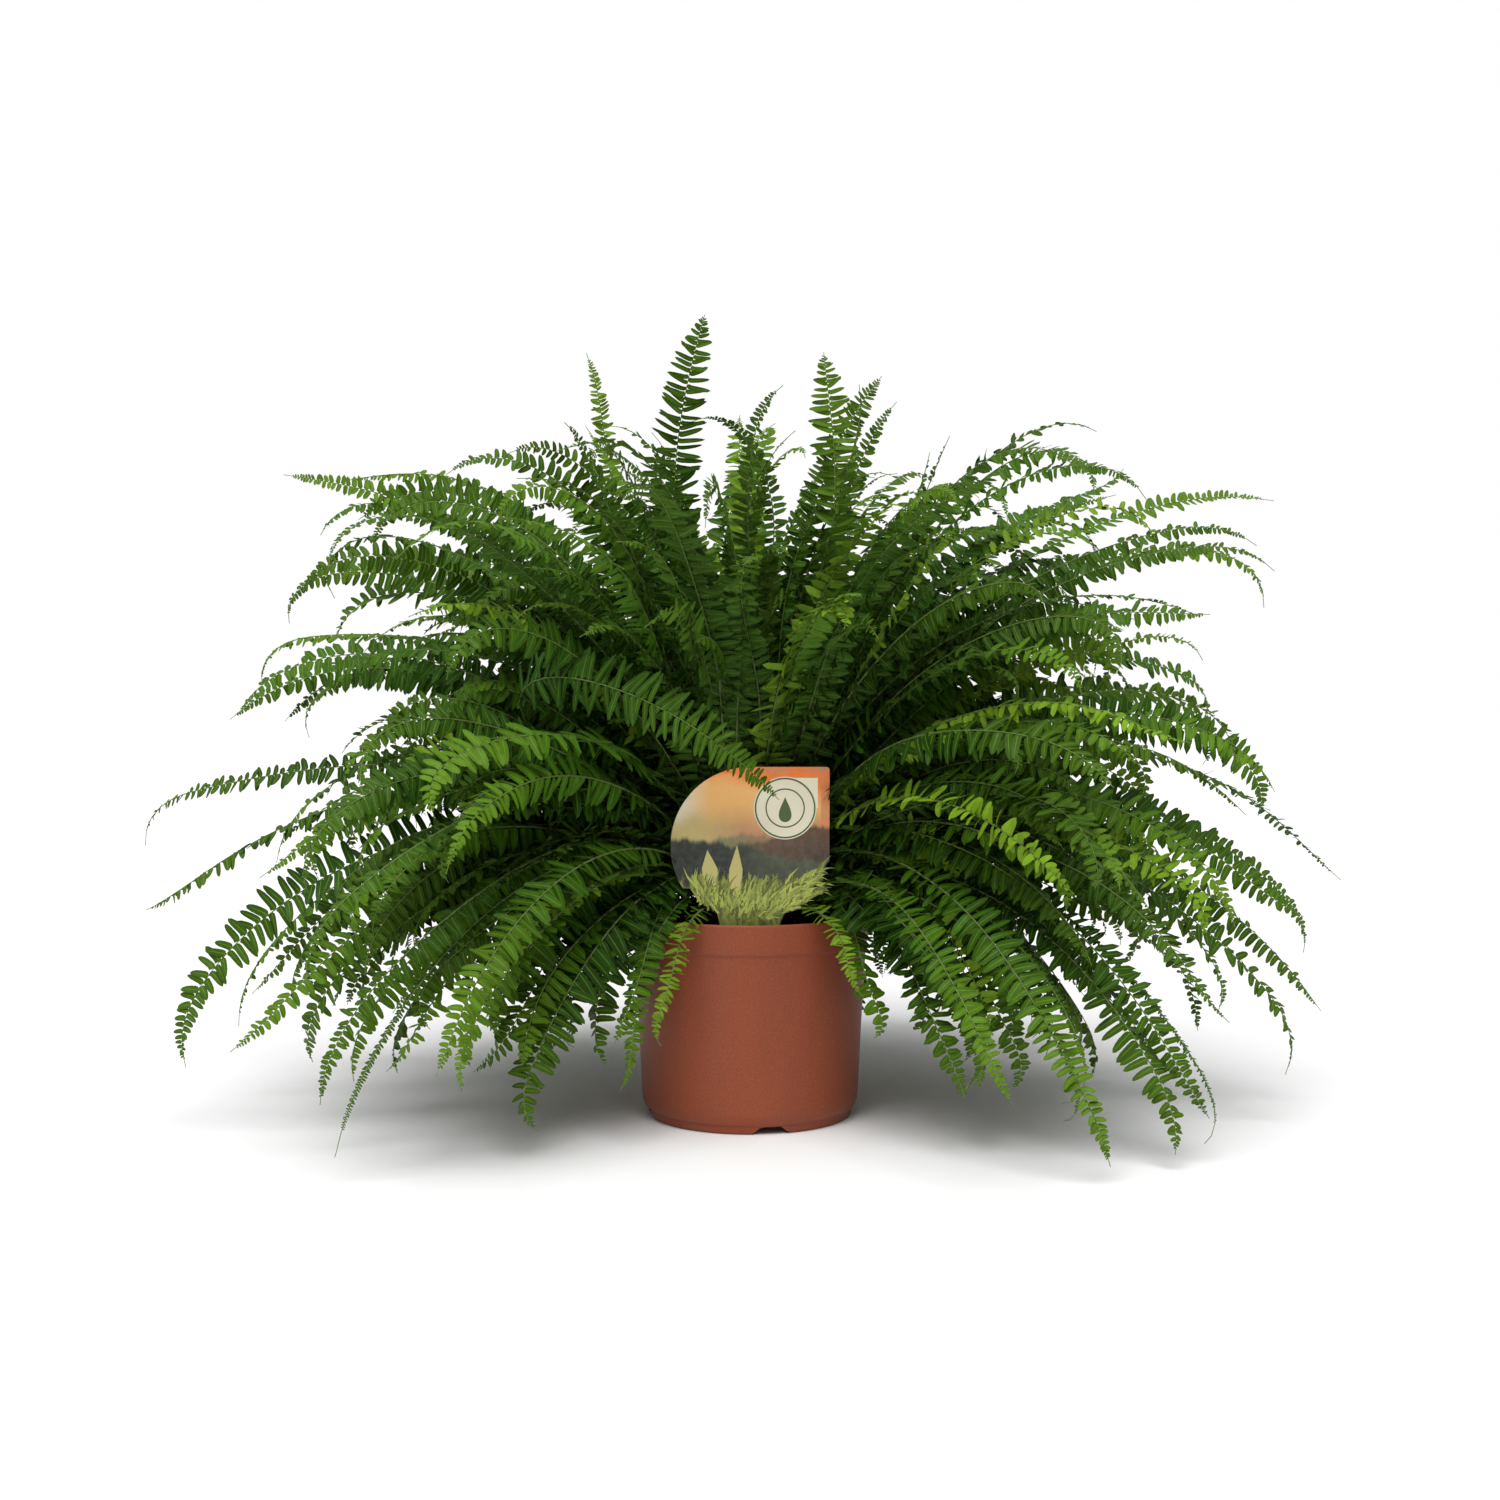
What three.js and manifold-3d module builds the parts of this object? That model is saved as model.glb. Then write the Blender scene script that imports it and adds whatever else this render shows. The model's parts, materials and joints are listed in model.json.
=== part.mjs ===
// A Boston fern growing in a round moulded nursery pot, with a picture label pushed into the soil.
// Millimetres, +Z up. The origin is the middle of the pot's underside, and -Y is the front.

import * as THREE from 'three';
import { mergeVertices } from 'three/addons/utils/BufferGeometryUtils.js';
import Module from 'manifold-3d';

const wasm = await Module();
wasm.setup();

// ---- driving dimensions ---------------------------------------------------------------------

const GAP = 0.3;                  // clearance kept between touching pieces

const POT_HEIGHT = 180;
const POT_WALL = 1.8;
const POT_SIDES = 64;
const RIM_RADIUS = 105;
const RIM_BAND = 26;              // height of the thicker band below the pot's lip
const RIM_STEP = 1.6;             // how far the band stands out from the wall under it
const BASE_RADIUS = 96;           // outside radius of the wall where it starts to round under
const FOOT_RADIUS = 90;
const FOOT_HEIGHT = 7;
const PAD_RADIUS = 30;            // middle pad of the underside, level with the foot ring
const NOTCH_COUNT = 4;
const NOTCH_WIDTH = 32;           // at the ground
const NOTCH_TOP_WIDTH = 17;
const NOTCH_FIRST = -78.5;        // degrees round from +X
const DRAIN_COUNT = 8;
const DRAIN_RADIUS = 5;
const DRAIN_CIRCLE = 62;

const SOIL_LEVEL = 165;           // soil height at the wall
const SOIL_RISE = 4;              // how much higher the soil stands round the crown

const CROWN_RADIUS = 56;
const CROWN_RISE = 36;

const LABEL_Y = -88;              // front face of the label
const LABEL_THICKNESS = 1;
const LABEL_RADIUS = 67;
const LABEL_CENTRE_Z = 245;
const LABEL_NECK = 26;            // half width of the label at the pot's lip
const STAKE_TIP_Z = 70;

const FROND_STATIONS = 13;        // cross sections along a frond, its two pointed ends not counted
const STALK_WIDTH = 3.2;
const STALK_PART = 0.1;           // share of the frond's length that is bare stalk
const BROADEST_PART = 0.36;       // share of the length where the frond reaches its full width
const BLADE_THICKNESS = 2.2;      // at the midrib, next to the stalk
const TIP_THICKNESS = 1.2;

// ---- small helpers --------------------------------------------------------------------------

const radians = THREE.MathUtils.degToRad;

function moulded(name, colour, roughness) {
  return new THREE.MeshStandardMaterial({ name, color: colour, roughness, metalness: 0 });
}

const MATERIALS = {
  pot: moulded('pot', 0x8b4a36, 0.45),
  soil: moulded('soil', 0x2b1d14, 0.95),
  crown: moulded('crown', 0x4b3220, 0.9),
  label: moulded('label', 0xe59a5a, 0.35),
  mature: moulded('mature', 0x1f5a1c, 0.55),
  mid: moulded('mid', 0x34801f, 0.55),
  young: moulded('young', 0x6fae2a, 0.55),
};

function piece(name, geometry, material) {
  const mesh = new THREE.Mesh(geometry, material);
  mesh.name = name;
  return mesh;
}

function toSolid(geometry) {
  const bare = geometry.clone();
  bare.deleteAttribute('normal');
  bare.deleteAttribute('uv');
  const merged = mergeVertices(bare, 1e-3);
  const { Manifold, Mesh } = wasm;
  return new Manifold(new Mesh({
    numProp: 3,
    vertProperties: new Float32Array(merged.attributes.position.array),
    triVerts: new Uint32Array(merged.index.array),
  }));
}

function toGeometry(solid) {
  const mesh = solid.getMesh();
  const geometry = new THREE.BufferGeometry();
  geometry.setAttribute('position', new THREE.BufferAttribute(mesh.vertProperties.slice(), 3));
  geometry.setIndex(new THREE.BufferAttribute(mesh.triVerts.slice(), 1));
  geometry.computeVertexNormals();
  return geometry;
}

// A body of revolution about Z from [radius, height] points that run from the bottom up its outside.
function turned(profile, sides = POT_SIDES) {
  const points = profile.map(([r, z]) => new THREE.Vector2(r, z));
  return new THREE.LatheGeometry(points, sides).rotateX(Math.PI / 2);
}

// ---- pot ------------------------------------------------------------------------------------

function potRadius(z) {
  const top = POT_HEIGHT - RIM_BAND;
  const share = (z - FOOT_HEIGHT) / (top - FOOT_HEIGHT);
  return THREE.MathUtils.lerp(BASE_RADIUS - 1, RIM_RADIUS - RIM_STEP, share);
}

function potGeometry() {
  const bandFoot = POT_HEIGHT - RIM_BAND;
  const floor = FOOT_HEIGHT + POT_WALL;
  const inner = RIM_RADIUS - POT_WALL;
  const profile = [
    [0, 0],
    [PAD_RADIUS, 0],
    [PAD_RADIUS + 4, FOOT_HEIGHT - 1],
    [FOOT_RADIUS - 5, FOOT_HEIGHT - 1],
    [FOOT_RADIUS - 3, 0],
    [FOOT_RADIUS, 0],
    [FOOT_RADIUS + 0.6, FOOT_HEIGHT],
    [BASE_RADIUS - 3.2, FOOT_HEIGHT + 1.5],
    [BASE_RADIUS - 1.2, FOOT_HEIGHT + 4.5],
    [BASE_RADIUS, FOOT_HEIGHT + 11],
    [potRadius(bandFoot) - 0.2, bandFoot - 2],
    [RIM_RADIUS - 0.6, bandFoot + 1],
    [RIM_RADIUS, POT_HEIGHT - 3],
    [RIM_RADIUS - 0.3, POT_HEIGHT - 0.8],
    [inner + 0.4, POT_HEIGHT],
    [inner - 0.4, POT_HEIGHT - 1.6],
    [potRadius(bandFoot) - POT_WALL, bandFoot - 2],
    [BASE_RADIUS - POT_WALL, FOOT_HEIGHT + 12],
    [BASE_RADIUS - POT_WALL - 2, floor + 4],
    [BASE_RADIUS - POT_WALL - 6, floor],
    [0, floor],
  ];
  let solid = toSolid(turned(profile));

  const half = NOTCH_WIDTH / 2;
  const halfTop = NOTCH_TOP_WIDTH / 2;
  const outline = new THREE.Shape([
    new THREE.Vector2(-half - 1.3, -1),
    new THREE.Vector2(half + 1.3, -1),
    new THREE.Vector2(halfTop, FOOT_HEIGHT - 1.2),
    new THREE.Vector2(-halfTop, FOOT_HEIGHT - 1.2),
  ]);
  for (let i = 0; i < NOTCH_COUNT; i += 1) {
    const notch = new THREE.ExtrudeGeometry(outline, { depth: 24, bevelEnabled: false });
    notch.rotateX(Math.PI / 2);
    notch.translate(0, 12, 0);
    notch.rotateZ(Math.PI / 2);
    notch.translate(FOOT_RADIUS, 0, 0);
    notch.rotateZ(radians(NOTCH_FIRST + (360 / NOTCH_COUNT) * i));
    solid = solid.subtract(toSolid(notch));
  }
  for (let i = 0; i < DRAIN_COUNT; i += 1) {
    const angle = radians((360 / DRAIN_COUNT) * (i + 0.5));
    const hole = new THREE.CylinderGeometry(DRAIN_RADIUS, DRAIN_RADIUS, 12, 12);
    hole.rotateX(Math.PI / 2);
    hole.translate(Math.cos(angle) * DRAIN_CIRCLE, Math.sin(angle) * DRAIN_CIRCLE, FOOT_HEIGHT);
    solid = solid.subtract(toSolid(hole));
  }
  return toGeometry(solid);
}

// ---- soil and crown -------------------------------------------------------------------------

const CROWN_FOOT_Z = SOIL_LEVEL + SOIL_RISE + GAP;

function soilGeometry() {
  const floor = FOOT_HEIGHT + POT_WALL + GAP;
  const clear = POT_WALL + GAP + 0.3;
  const bandFoot = POT_HEIGHT - RIM_BAND;
  const profile = [
    [0, floor],
    [BASE_RADIUS - clear - 6, floor],
    [BASE_RADIUS - clear - 2.2, floor + 4.2],
    [BASE_RADIUS - clear - 0.2, FOOT_HEIGHT + 12.4],
    [potRadius(bandFoot) - clear, bandFoot - 2],
    [potRadius(bandFoot) - clear + 0.3, SOIL_LEVEL - 2],
    [potRadius(bandFoot) - clear - 1.5, SOIL_LEVEL],
    [CROWN_RADIUS + 16, SOIL_LEVEL + SOIL_RISE * 0.6],
    [CROWN_RADIUS + 3, SOIL_LEVEL + SOIL_RISE],
    [0, SOIL_LEVEL + SOIL_RISE],
  ];
  const slot = labelGeometry(GAP);
  return toGeometry(toSolid(turned(profile, 40)).subtract(toSolid(slot)));
}

function crownHeight(radius) {
  return CROWN_FOOT_Z + CROWN_RISE * Math.sqrt(1 - (radius / CROWN_RADIUS) ** 2);
}

function crownGeometry() {
  const profile = [[0, CROWN_FOOT_Z], [CROWN_RADIUS - 2, CROWN_FOOT_Z]];
  const steps = 7;
  for (let i = 0; i < steps; i += 1) {
    const radius = CROWN_RADIUS * Math.cos((Math.PI / 2) * (i / steps));
    profile.push([radius, crownHeight(radius) + (i ? 0 : 2)]);
  }
  profile.push([0, crownHeight(0)]);
  return turned(profile, 32);
}

// ---- label ----------------------------------------------------------------------------------

// The label's printed head is a disc with one square corner. Its foot is cut to the outline of a
// clump of grass, and a tapering stake under it goes down into the soil.
function labelGeometry(extra = 0) {
  const r = LABEL_RADIUS + extra;
  const neck = LABEL_NECK + extra;
  const cz = LABEL_CENTRE_Z;
  const lip = POT_HEIGHT + 1;
  const outline = new THREE.Shape();
  outline.moveTo(r, cz + r);
  outline.lineTo(0, cz + r);
  outline.absarc(0, cz, r, Math.PI / 2, radians(212), false);
  const grassLeft = [[-48, -36], [-45, -44], [-37, -45], [-33, -52], [-29, -52]];
  for (const [x, z] of grassLeft) {
    outline.lineTo(x - extra, cz + z);
  }
  outline.lineTo(-neck, lip);
  outline.lineTo(-neck * 0.8, SOIL_LEVEL - 10);
  outline.lineTo(-4 - extra, STAKE_TIP_Z - extra);
  outline.lineTo(4 + extra, STAKE_TIP_Z - extra);
  outline.lineTo(neck * 0.8, SOIL_LEVEL - 10);
  outline.lineTo(neck, lip);
  const grassRight = [[29, -57], [37, -54], [41, -45], [47, -43], [54, -32], [60, -26], [64, -16]];
  for (const [x, z] of grassRight) {
    outline.lineTo(x + extra, cz + z);
  }
  outline.lineTo(r, cz - 12);
  outline.closePath();
  const depth = LABEL_THICKNESS + 2 * extra;
  const plate = new THREE.ExtrudeGeometry(outline, { depth, bevelEnabled: false, curveSegments: 10 });
  plate.rotateX(Math.PI / 2);
  plate.translate(0, LABEL_Y + LABEL_THICKNESS + extra, 0);
  return plate;
}

// ---- fronds ---------------------------------------------------------------------------------

const BROAD = 58;
const FULL = 48;
const SLIM = 34;
const NARROW = 24;
const WHIP = 13;

// Each frond: the direction it leaves the crown (degrees round from +X, the front is 270), its
// launch angle above level, how far out and how high its tip ends, the angle at its tip (below
// level is negative), its width and its age. Then, where it isn't plain: how many degrees its tip
// swings round, and how many degrees its blade is rolled over.
const FRONDS = [
  // low fronds, round the pot from the right
  [4, 42, 520, 85, -55, FULL, 'mature'],
  [354, 44, 495, 50, -62, FULL, 'mature'],
  [333, 46, 440, 12, -66, WHIP, 'mature'],
  [329, 34, 405, 14, -72, BROAD, 'mature'],
  [316, 50, 380, 12, -76, FULL, 'mid'],
  [320, 32, 330, 18, -84, WHIP, 'mature', 5],
  [310, 28, 360, 72, -62, SLIM, 'mid', -9],
  [301, 16, 175, 126, -72, NARROW, 'young'],
  [245, 16, 182, 88, -80, NARROW, 'young'],
  [233, 32, 174, 44, -86, NARROW, 'mid'],
  [226, 34, 272, 26, -66, BROAD, 'mature'],
  [226, 46, 377, 92, -74, FULL, 'young', 7],
  [219, 44, 410, 12, -82, WHIP, 'mature'],
  [216, 50, 396, 76, -66, FULL, 'mid'],
  [202, 40, 450, 80, -52, FULL, 'mid'],
  [191, 42, 505, 60, -74, BROAD, 'mature'],
  [172, 42, 490, 70, -66, FULL, 'mid'],
  [152, 40, 470, 60, -68, BROAD, 'mature'],
  [130, 42, 440, 45, -72, FULL, 'mature'],
  [108, 38, 460, 70, -66, BROAD, 'mid'],
  [86, 42, 430, 40, -72, FULL, 'mature'],
  [64, 40, 470, 65, -66, BROAD, 'mature'],
  [42, 42, 450, 50, -70, FULL, 'mid'],
  [22, 42, 480, 45, -68, BROAD, 'mature'],

  // middle fronds
  [10, 56, 550, 190, -60, FULL, 'mature'],
  [354, 54, 470, 165, -62, FULL, 'mature', 0, 40],
  [338, 56, 430, 190, -66, FULL, 'mid'],
  [316, 56, 385, 225, -42, SLIM, 'young', -8],
  [223, 56, 400, 260, -36, FULL, 'mid', 12],
  [208, 62, 415, 235, -62, BROAD, 'mature'],
  [196, 50, 520, 178, -46, FULL, 'mature', -6],
  [183, 44, 590, 262, -14, SLIM, 'mature', -10],
  [160, 56, 500, 215, -56, FULL, 'mid'],
  [136, 56, 480, 200, -60, FULL, 'mature'],
  [114, 58, 470, 230, -54, FULL, 'mid'],
  [90, 56, 490, 190, -60, BROAD, 'mature'],
  [66, 58, 460, 235, -52, FULL, 'mid'],
  [38, 56, 500, 205, -58, FULL, 'mature'],

  // upper fronds
  [18, 62, 495, 350, -40, FULL, 'mature'],
  [350, 66, 455, 500, -2, SLIM, 'mid', 0, 25],
  [326, 68, 330, 385, -40, FULL, 'mid'],
  [225, 66, 340, 400, -42, FULL, 'mature'],
  [193, 66, 400, 470, -30, FULL, 'mature', 0, -24],
  [178, 60, 465, 350, -38, FULL, 'mature'],
  [158, 66, 545, 410, -12, SLIM, 'mid'],
  [122, 68, 400, 420, -28, FULL, 'mature'],
  [78, 68, 420, 410, -30, FULL, 'mature'],
  [14, 70, 500, 560, 4, SLIM, 'mid'],
  [50, 70, 400, 450, -20, FULL, 'mid'],

  // the steepest fronds, which make the top of the plant
  [346, 76, 300, 620, 20, FULL, 'mid'],
  [186, 78, 268, 575, -12, FULL, 'mature'],
  [338, 80, 66, 666, 102, FULL, 'mid'],
  [18, 82, 118, 655, 55, SLIM, 'mature'],
  [156, 80, 150, 680, 92, NARROW, 'young'],
  [190, 80, 40, 702, 108, FULL, 'mature'],
  [95, 82, 120, 630, 40, SLIM, 'young'],
];

function rootPoint(azimuth, launch) {
  const radius = 11 + 37 * Math.cos(radians(launch));
  const angle = radians(azimuth);
  const surface = crownHeight(radius) + 2 * GAP;
  return new THREE.Vector3(radius * Math.cos(angle), radius * Math.sin(angle), surface);
}

function direction(azimuth, elevation) {
  const a = radians(azimuth);
  const e = radians(elevation);
  return new THREE.Vector3(Math.cos(e) * Math.cos(a), Math.cos(e) * Math.sin(a), Math.sin(e));
}

function frondWidth(full, t) {
  const rise = THREE.MathUtils.smoothstep(t, STALK_PART, BROADEST_PART);
  const past = Math.max(0, (t - BROADEST_PART) / (1 - BROADEST_PART));
  return Math.max(STALK_WIDTH * (1 - 0.4 * t), full * rise * (1 - past ** 1.7));
}

// One arched frond: a thin blade with a low ridge along its midrib, pointed at both ends.
function frondGeometry([azimuth, launch, reach, height, droop, width, , swing = 0, roll = 0]) {
  const root = rootPoint(azimuth, launch);
  const level = direction(azimuth + swing, 0);
  const tip = level.clone().multiplyScalar(reach).setZ(height);
  const chord = root.distanceTo(tip);
  const spine = new THREE.CubicBezierCurve3(
    root,
    root.clone().addScaledVector(direction(azimuth, launch), chord * 0.42),
    tip.clone().addScaledVector(direction(azimuth + 2 * swing, droop), -chord * 0.36),
    tip,
  );
  const square = direction(azimuth + swing - 90, 0);
  const points = [...root.toArray()];
  for (let i = 1; i <= FROND_STATIONS; i += 1) {
    const t = (i - 0.6) / (FROND_STATIONS + 0.2);
    const centre = spine.getPointAt(t);
    const along = spine.getTangentAt(t);
    const across = square.clone().addScaledVector(along, -along.dot(square)).normalize();
    across.applyAxisAngle(along, radians(roll) * THREE.MathUtils.smoothstep(t, 0, 0.5));
    const up = across.clone().cross(along).normalize();
    const half = frondWidth(width, t) / 2;
    const thick = THREE.MathUtils.lerp(BLADE_THICKNESS, TIP_THICKNESS, t) / 2;
    points.push(
      ...centre.clone().addScaledVector(across, half).toArray(),
      ...centre.clone().addScaledVector(up, thick).toArray(),
      ...centre.clone().addScaledVector(across, -half).toArray(),
      ...centre.clone().addScaledVector(up, -thick).toArray(),
    );
  }
  points.push(...tip.toArray());

  const faces = [];
  const last = 1 + 4 * FROND_STATIONS;
  for (let side = 0; side < 4; side += 1) {
    const next = (side + 1) % 4;
    faces.push(0, 1 + side, 1 + next);
    for (let i = 0; i < FROND_STATIONS - 1; i += 1) {
      const a = 1 + 4 * i;
      const b = a + 4;
      faces.push(a + side, b + next, a + next, a + side, b + side, b + next);
    }
    faces.push(last, last - 4 + next, last - 4 + side);
  }
  const geometry = new THREE.BufferGeometry();
  geometry.setAttribute('position', new THREE.Float32BufferAttribute(points, 3));
  geometry.setIndex(faces);
  geometry.computeVertexNormals();
  return geometry;
}

// ---- assembly -------------------------------------------------------------------------------

const fern = new THREE.Group();
fern.name = 'potted_fern';
fern.add(
  piece('pot', potGeometry(), MATERIALS.pot),
  piece('potting_soil', soilGeometry(), MATERIALS.soil),
  piece('crown', crownGeometry(), MATERIALS.crown),
  piece('care_label', labelGeometry(), MATERIALS.label),
);
FRONDS.forEach((frond, i) => {
  const name = `frond_${String(i + 1).padStart(2, '0')}`;
  fern.add(piece(name, frondGeometry(frond), MATERIALS[frond[6]]));
});

export default fern;
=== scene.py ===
import json
import math

import bmesh
import bpy
import numpy as np
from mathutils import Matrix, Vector, noise

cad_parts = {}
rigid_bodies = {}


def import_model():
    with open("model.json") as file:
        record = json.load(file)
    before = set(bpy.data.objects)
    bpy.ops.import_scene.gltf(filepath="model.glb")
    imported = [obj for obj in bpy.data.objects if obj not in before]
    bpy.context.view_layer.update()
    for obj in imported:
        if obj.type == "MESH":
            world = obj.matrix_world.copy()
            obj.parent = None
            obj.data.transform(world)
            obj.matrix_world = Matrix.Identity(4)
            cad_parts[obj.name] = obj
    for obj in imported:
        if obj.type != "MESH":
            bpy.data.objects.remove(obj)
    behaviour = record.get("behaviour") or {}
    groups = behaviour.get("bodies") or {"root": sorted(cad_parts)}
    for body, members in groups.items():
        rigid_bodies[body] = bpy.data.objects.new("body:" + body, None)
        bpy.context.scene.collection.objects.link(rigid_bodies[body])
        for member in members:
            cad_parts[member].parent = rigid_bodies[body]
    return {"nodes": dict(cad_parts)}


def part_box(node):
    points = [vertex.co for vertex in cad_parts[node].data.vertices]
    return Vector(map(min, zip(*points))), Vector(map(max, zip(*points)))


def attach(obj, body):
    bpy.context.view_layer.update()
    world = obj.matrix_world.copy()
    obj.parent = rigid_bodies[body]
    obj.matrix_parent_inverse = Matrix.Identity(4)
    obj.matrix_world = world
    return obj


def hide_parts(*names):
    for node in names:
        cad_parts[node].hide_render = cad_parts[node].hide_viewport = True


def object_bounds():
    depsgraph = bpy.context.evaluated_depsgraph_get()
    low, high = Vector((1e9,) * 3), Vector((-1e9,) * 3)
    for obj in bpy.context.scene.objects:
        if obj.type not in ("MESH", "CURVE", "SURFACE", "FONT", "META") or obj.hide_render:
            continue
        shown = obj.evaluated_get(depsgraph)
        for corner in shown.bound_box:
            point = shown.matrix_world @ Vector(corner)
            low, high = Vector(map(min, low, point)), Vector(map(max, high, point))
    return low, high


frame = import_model()
CAD_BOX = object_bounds()

bl_info = {
    "name": "Potted Boston fern",
    "version": (1, 0, 0),
    "blender": (4, 5, 0),
    "location": "View3D > Sidebar > Fern",
    "description": "Makes the leaves, pot, soil and label of a potted fern over its CAD frame",
    "category": "Add Mesh",
}

FROND_NAMES = sorted(name for name in frame["nodes"] if name.startswith("frond_"))

# The crown is a dome. Every frond leaves it a little above its skin.
CROWN_LOW, CROWN_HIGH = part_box("crown")
CROWN_RADIUS = CROWN_HIGH.x
CROWN_RISE = CROWN_HIGH.z - CROWN_LOW.z
CROWN_HEART = Vector((0.0, 0.0, CROWN_LOW.z))
ROOT_RING = 0.011
ROOT_SPREAD = 0.037

# The label's front face, with the middle of its round head.
LABEL_LOW, LABEL_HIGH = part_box("care_label")
LABEL_RADIUS = LABEL_HIGH.x
LABEL_MIDDLE = LABEL_HIGH.z - LABEL_RADIUS
LABEL_FACE = LABEL_LOW.y

POT_LOW, POT_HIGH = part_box("pot")
POT_RADIUS = POT_HIGH.x
POT_TOP = POT_HIGH.z
SOIL_LOW, SOIL_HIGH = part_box("potting_soil")

# Blade widths, across both rows of leaflets, in metres.
BROAD = 0.058
FULL = 0.048
SLIM = 0.034
NARROW = 0.024
WHIP = 0.013

FRONT = np.array([0.0, -1.0, 0.0])

# The camera: where it stands, its lens and sensor in millimetres, and how far it looks down.
CAMERA_SPOT = Vector((0.0, -1.8, 0.41))
CAMERA_LENS = 48.9
CAMERA_SENSOR = 36.0
CAMERA_DIP = 2.8


# ---- what a user may change -----------------------------------------------------------------


def length(name, description, default, **more):
    return bpy.props.FloatProperty(
        name=name, description=description, default=default, unit="LENGTH", precision=5, **more
    )


def angle(name, description, degrees):
    return bpy.props.FloatProperty(
        name=name, description=description, default=math.radians(degrees), subtype="ANGLE"
    )


def colour(name, description, default):
    return bpy.props.FloatVectorProperty(
        name=name, description=description, default=default, subtype="COLOR", size=3, min=0, max=1
    )


def amount(name, description, default, **more):
    return bpy.props.FloatProperty(name=name, description=description, default=default, **more)


class FernFrondSettings(bpy.types.PropertyGroup):
    leaflet_width: length("Leaflet width", "Width of the longest leaflets", 0.0074)
    widening: length("Widening", "Leaflets much shorter than this are narrower too", 0.0085)
    spacing: amount("Spacing", "Step from a leaflet to the one opposite, in leaflet widths", 0.59)
    stem_radius: length("Midrib radius", "Radius of the midrib where it leaves the crown", 0.0015)
    stem_tip: length("Midrib tip radius", "Radius of the midrib at its tip", 0.0003)
    lean_base: angle("Lean at the base", "How far the lowest leaflets lean to the tip", 2)
    lean_tip: angle("Lean at the tip", "How far the last leaflets lean to the tip", 13)
    unevenness: angle("Unevenness", "How far a leaflet may turn from its neighbours", 19)
    blade_roll: angle("Blade roll", "How far a frond's blade may turn about its midrib", 65)
    seed: bpy.props.IntProperty(name="Seed", description="Changes the random turns", default=7)
    mature_colour: colour("Mature", "Old fronds", (0.0135, 0.060, 0.0045))
    mid_colour: colour("Middle-aged", "Fronds in full growth", (0.037, 0.113, 0.0048))
    young_colour: colour("Young", "New fronds and tips", (0.150, 0.265, 0.012))


class FernCompanionSettings(bpy.types.PropertyGroup):
    low: bpy.props.IntProperty(name="Low", description="Fronds that hang low", default=54)
    middle: bpy.props.IntProperty(name="Middle", description="Fronds at mid height", default=86)
    upper: bpy.props.IntProperty(name="Upper", description="Fronds in the upper dome", default=88)
    heart: bpy.props.IntProperty(name="Heart", description="Upright fronds inside", default=40)
    beside: bpy.props.IntProperty(name="Beside", description="Beside the label", default=64)
    flanks: bpy.props.IntProperty(name="Flanks", description="Behind, left and right", default=70)
    seed: bpy.props.IntProperty(name="Seed", description="Changes where they stand", default=23)


class FernPotSettings(bpy.types.PropertyGroup):
    sides: bpy.props.IntProperty(name="Sides", description="Facets round the pot", default=192)
    body_colour: colour("Plastic", "Colour of the moulded plastic", (0.262, 0.064, 0.030))
    grain: amount("Grain", "Strength of the moulded grain", 0.22, min=0, max=1)


class FernSoilSettings(bpy.types.PropertyGroup):
    crumbs: amount("Crumbs", "Crumbs for each square metre of soil", 60000.0)
    crumb_size: length("Crumb size", "Usual size of a crumb", 0.0021)
    soil_colour: colour("Compost", "Colour of the damp compost", (0.022, 0.013, 0.008))
    scale_colour: colour("Crown scales", "Colour of the crown's scales", (0.115, 0.052, 0.020))


class FernLabelSettings(bpy.types.PropertyGroup):
    sky_colour: colour("Sky", "The warm sky of the print", (0.850, 0.215, 0.040))
    cream_colour: colour("Cream", "Pale part of the sky, and the badge", (0.800, 0.740, 0.560))
    hill_colour: colour("Hills", "The dark hills of the print", (0.030, 0.037, 0.027))
    grass_colour: colour("Grass", "The printed grass", (0.250, 0.290, 0.048))


class FernStageSettings(bpy.types.PropertyGroup):
    floor_colour: colour("Floor", "The pale floor", (0.90, 0.90, 0.90))
    sky_strength: amount("Room light", "Strength of the even light all round", 0.36)
    key_strength: amount("Main light", "Strength of the broad light from above", 3.2)
    key_spread: angle("Main light spread", "How broad, and so how soft, the main light is", 50)


# ---- nodes ----------------------------------------------------------------------------------


def find_socket(sockets, label):
    if isinstance(label, int):
        return sockets[label]
    return next(s for s in sockets if s.name == label and s.enabled)


def feed(tree, socket, value):
    """Links a socket to another one, or gives it a plain value."""
    if isinstance(value, bpy.types.NodeSocket):
        tree.links.new(value, socket)
    else:
        socket.default_value = value


def add(tree, kind, inputs=None, **settings):
    """Adds a node, changes its settings, and feeds its inputs from sockets or plain values."""
    node = tree.nodes.new(kind)
    for label, value in settings.items():
        setattr(node, label, value)
    for label, value in (inputs or {}).items():
        feed(tree, find_socket(node.inputs, label), value)
    return node


def calc(tree, operation, *values, clamp=False):
    node = add(tree, "ShaderNodeMath", dict(enumerate(values)), operation=operation)
    node.use_clamp = clamp
    return node.outputs[0]


def vector_calc(tree, operation, *values):
    node = add(tree, "ShaderNodeVectorMath", operation=operation)
    places = [0, 3] if operation == "SCALE" else [0, 1, 2]
    for place, value in zip(places, values):
        feed(tree, node.inputs[place], value)
    return node.outputs["Vector"]


def remap(tree, value, low, high, to_low=0.0, to_high=1.0, smooth=True):
    """Value between low and high, as a share between to_low and to_high."""
    kind = "SMOOTHSTEP" if smooth else "LINEAR"
    node = add(tree, "ShaderNodeMapRange", interpolation_type=kind)
    for place, item in enumerate((value, low, high, to_low, to_high)):
        feed(tree, node.inputs[place], item)
    return node.outputs[0]


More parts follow.
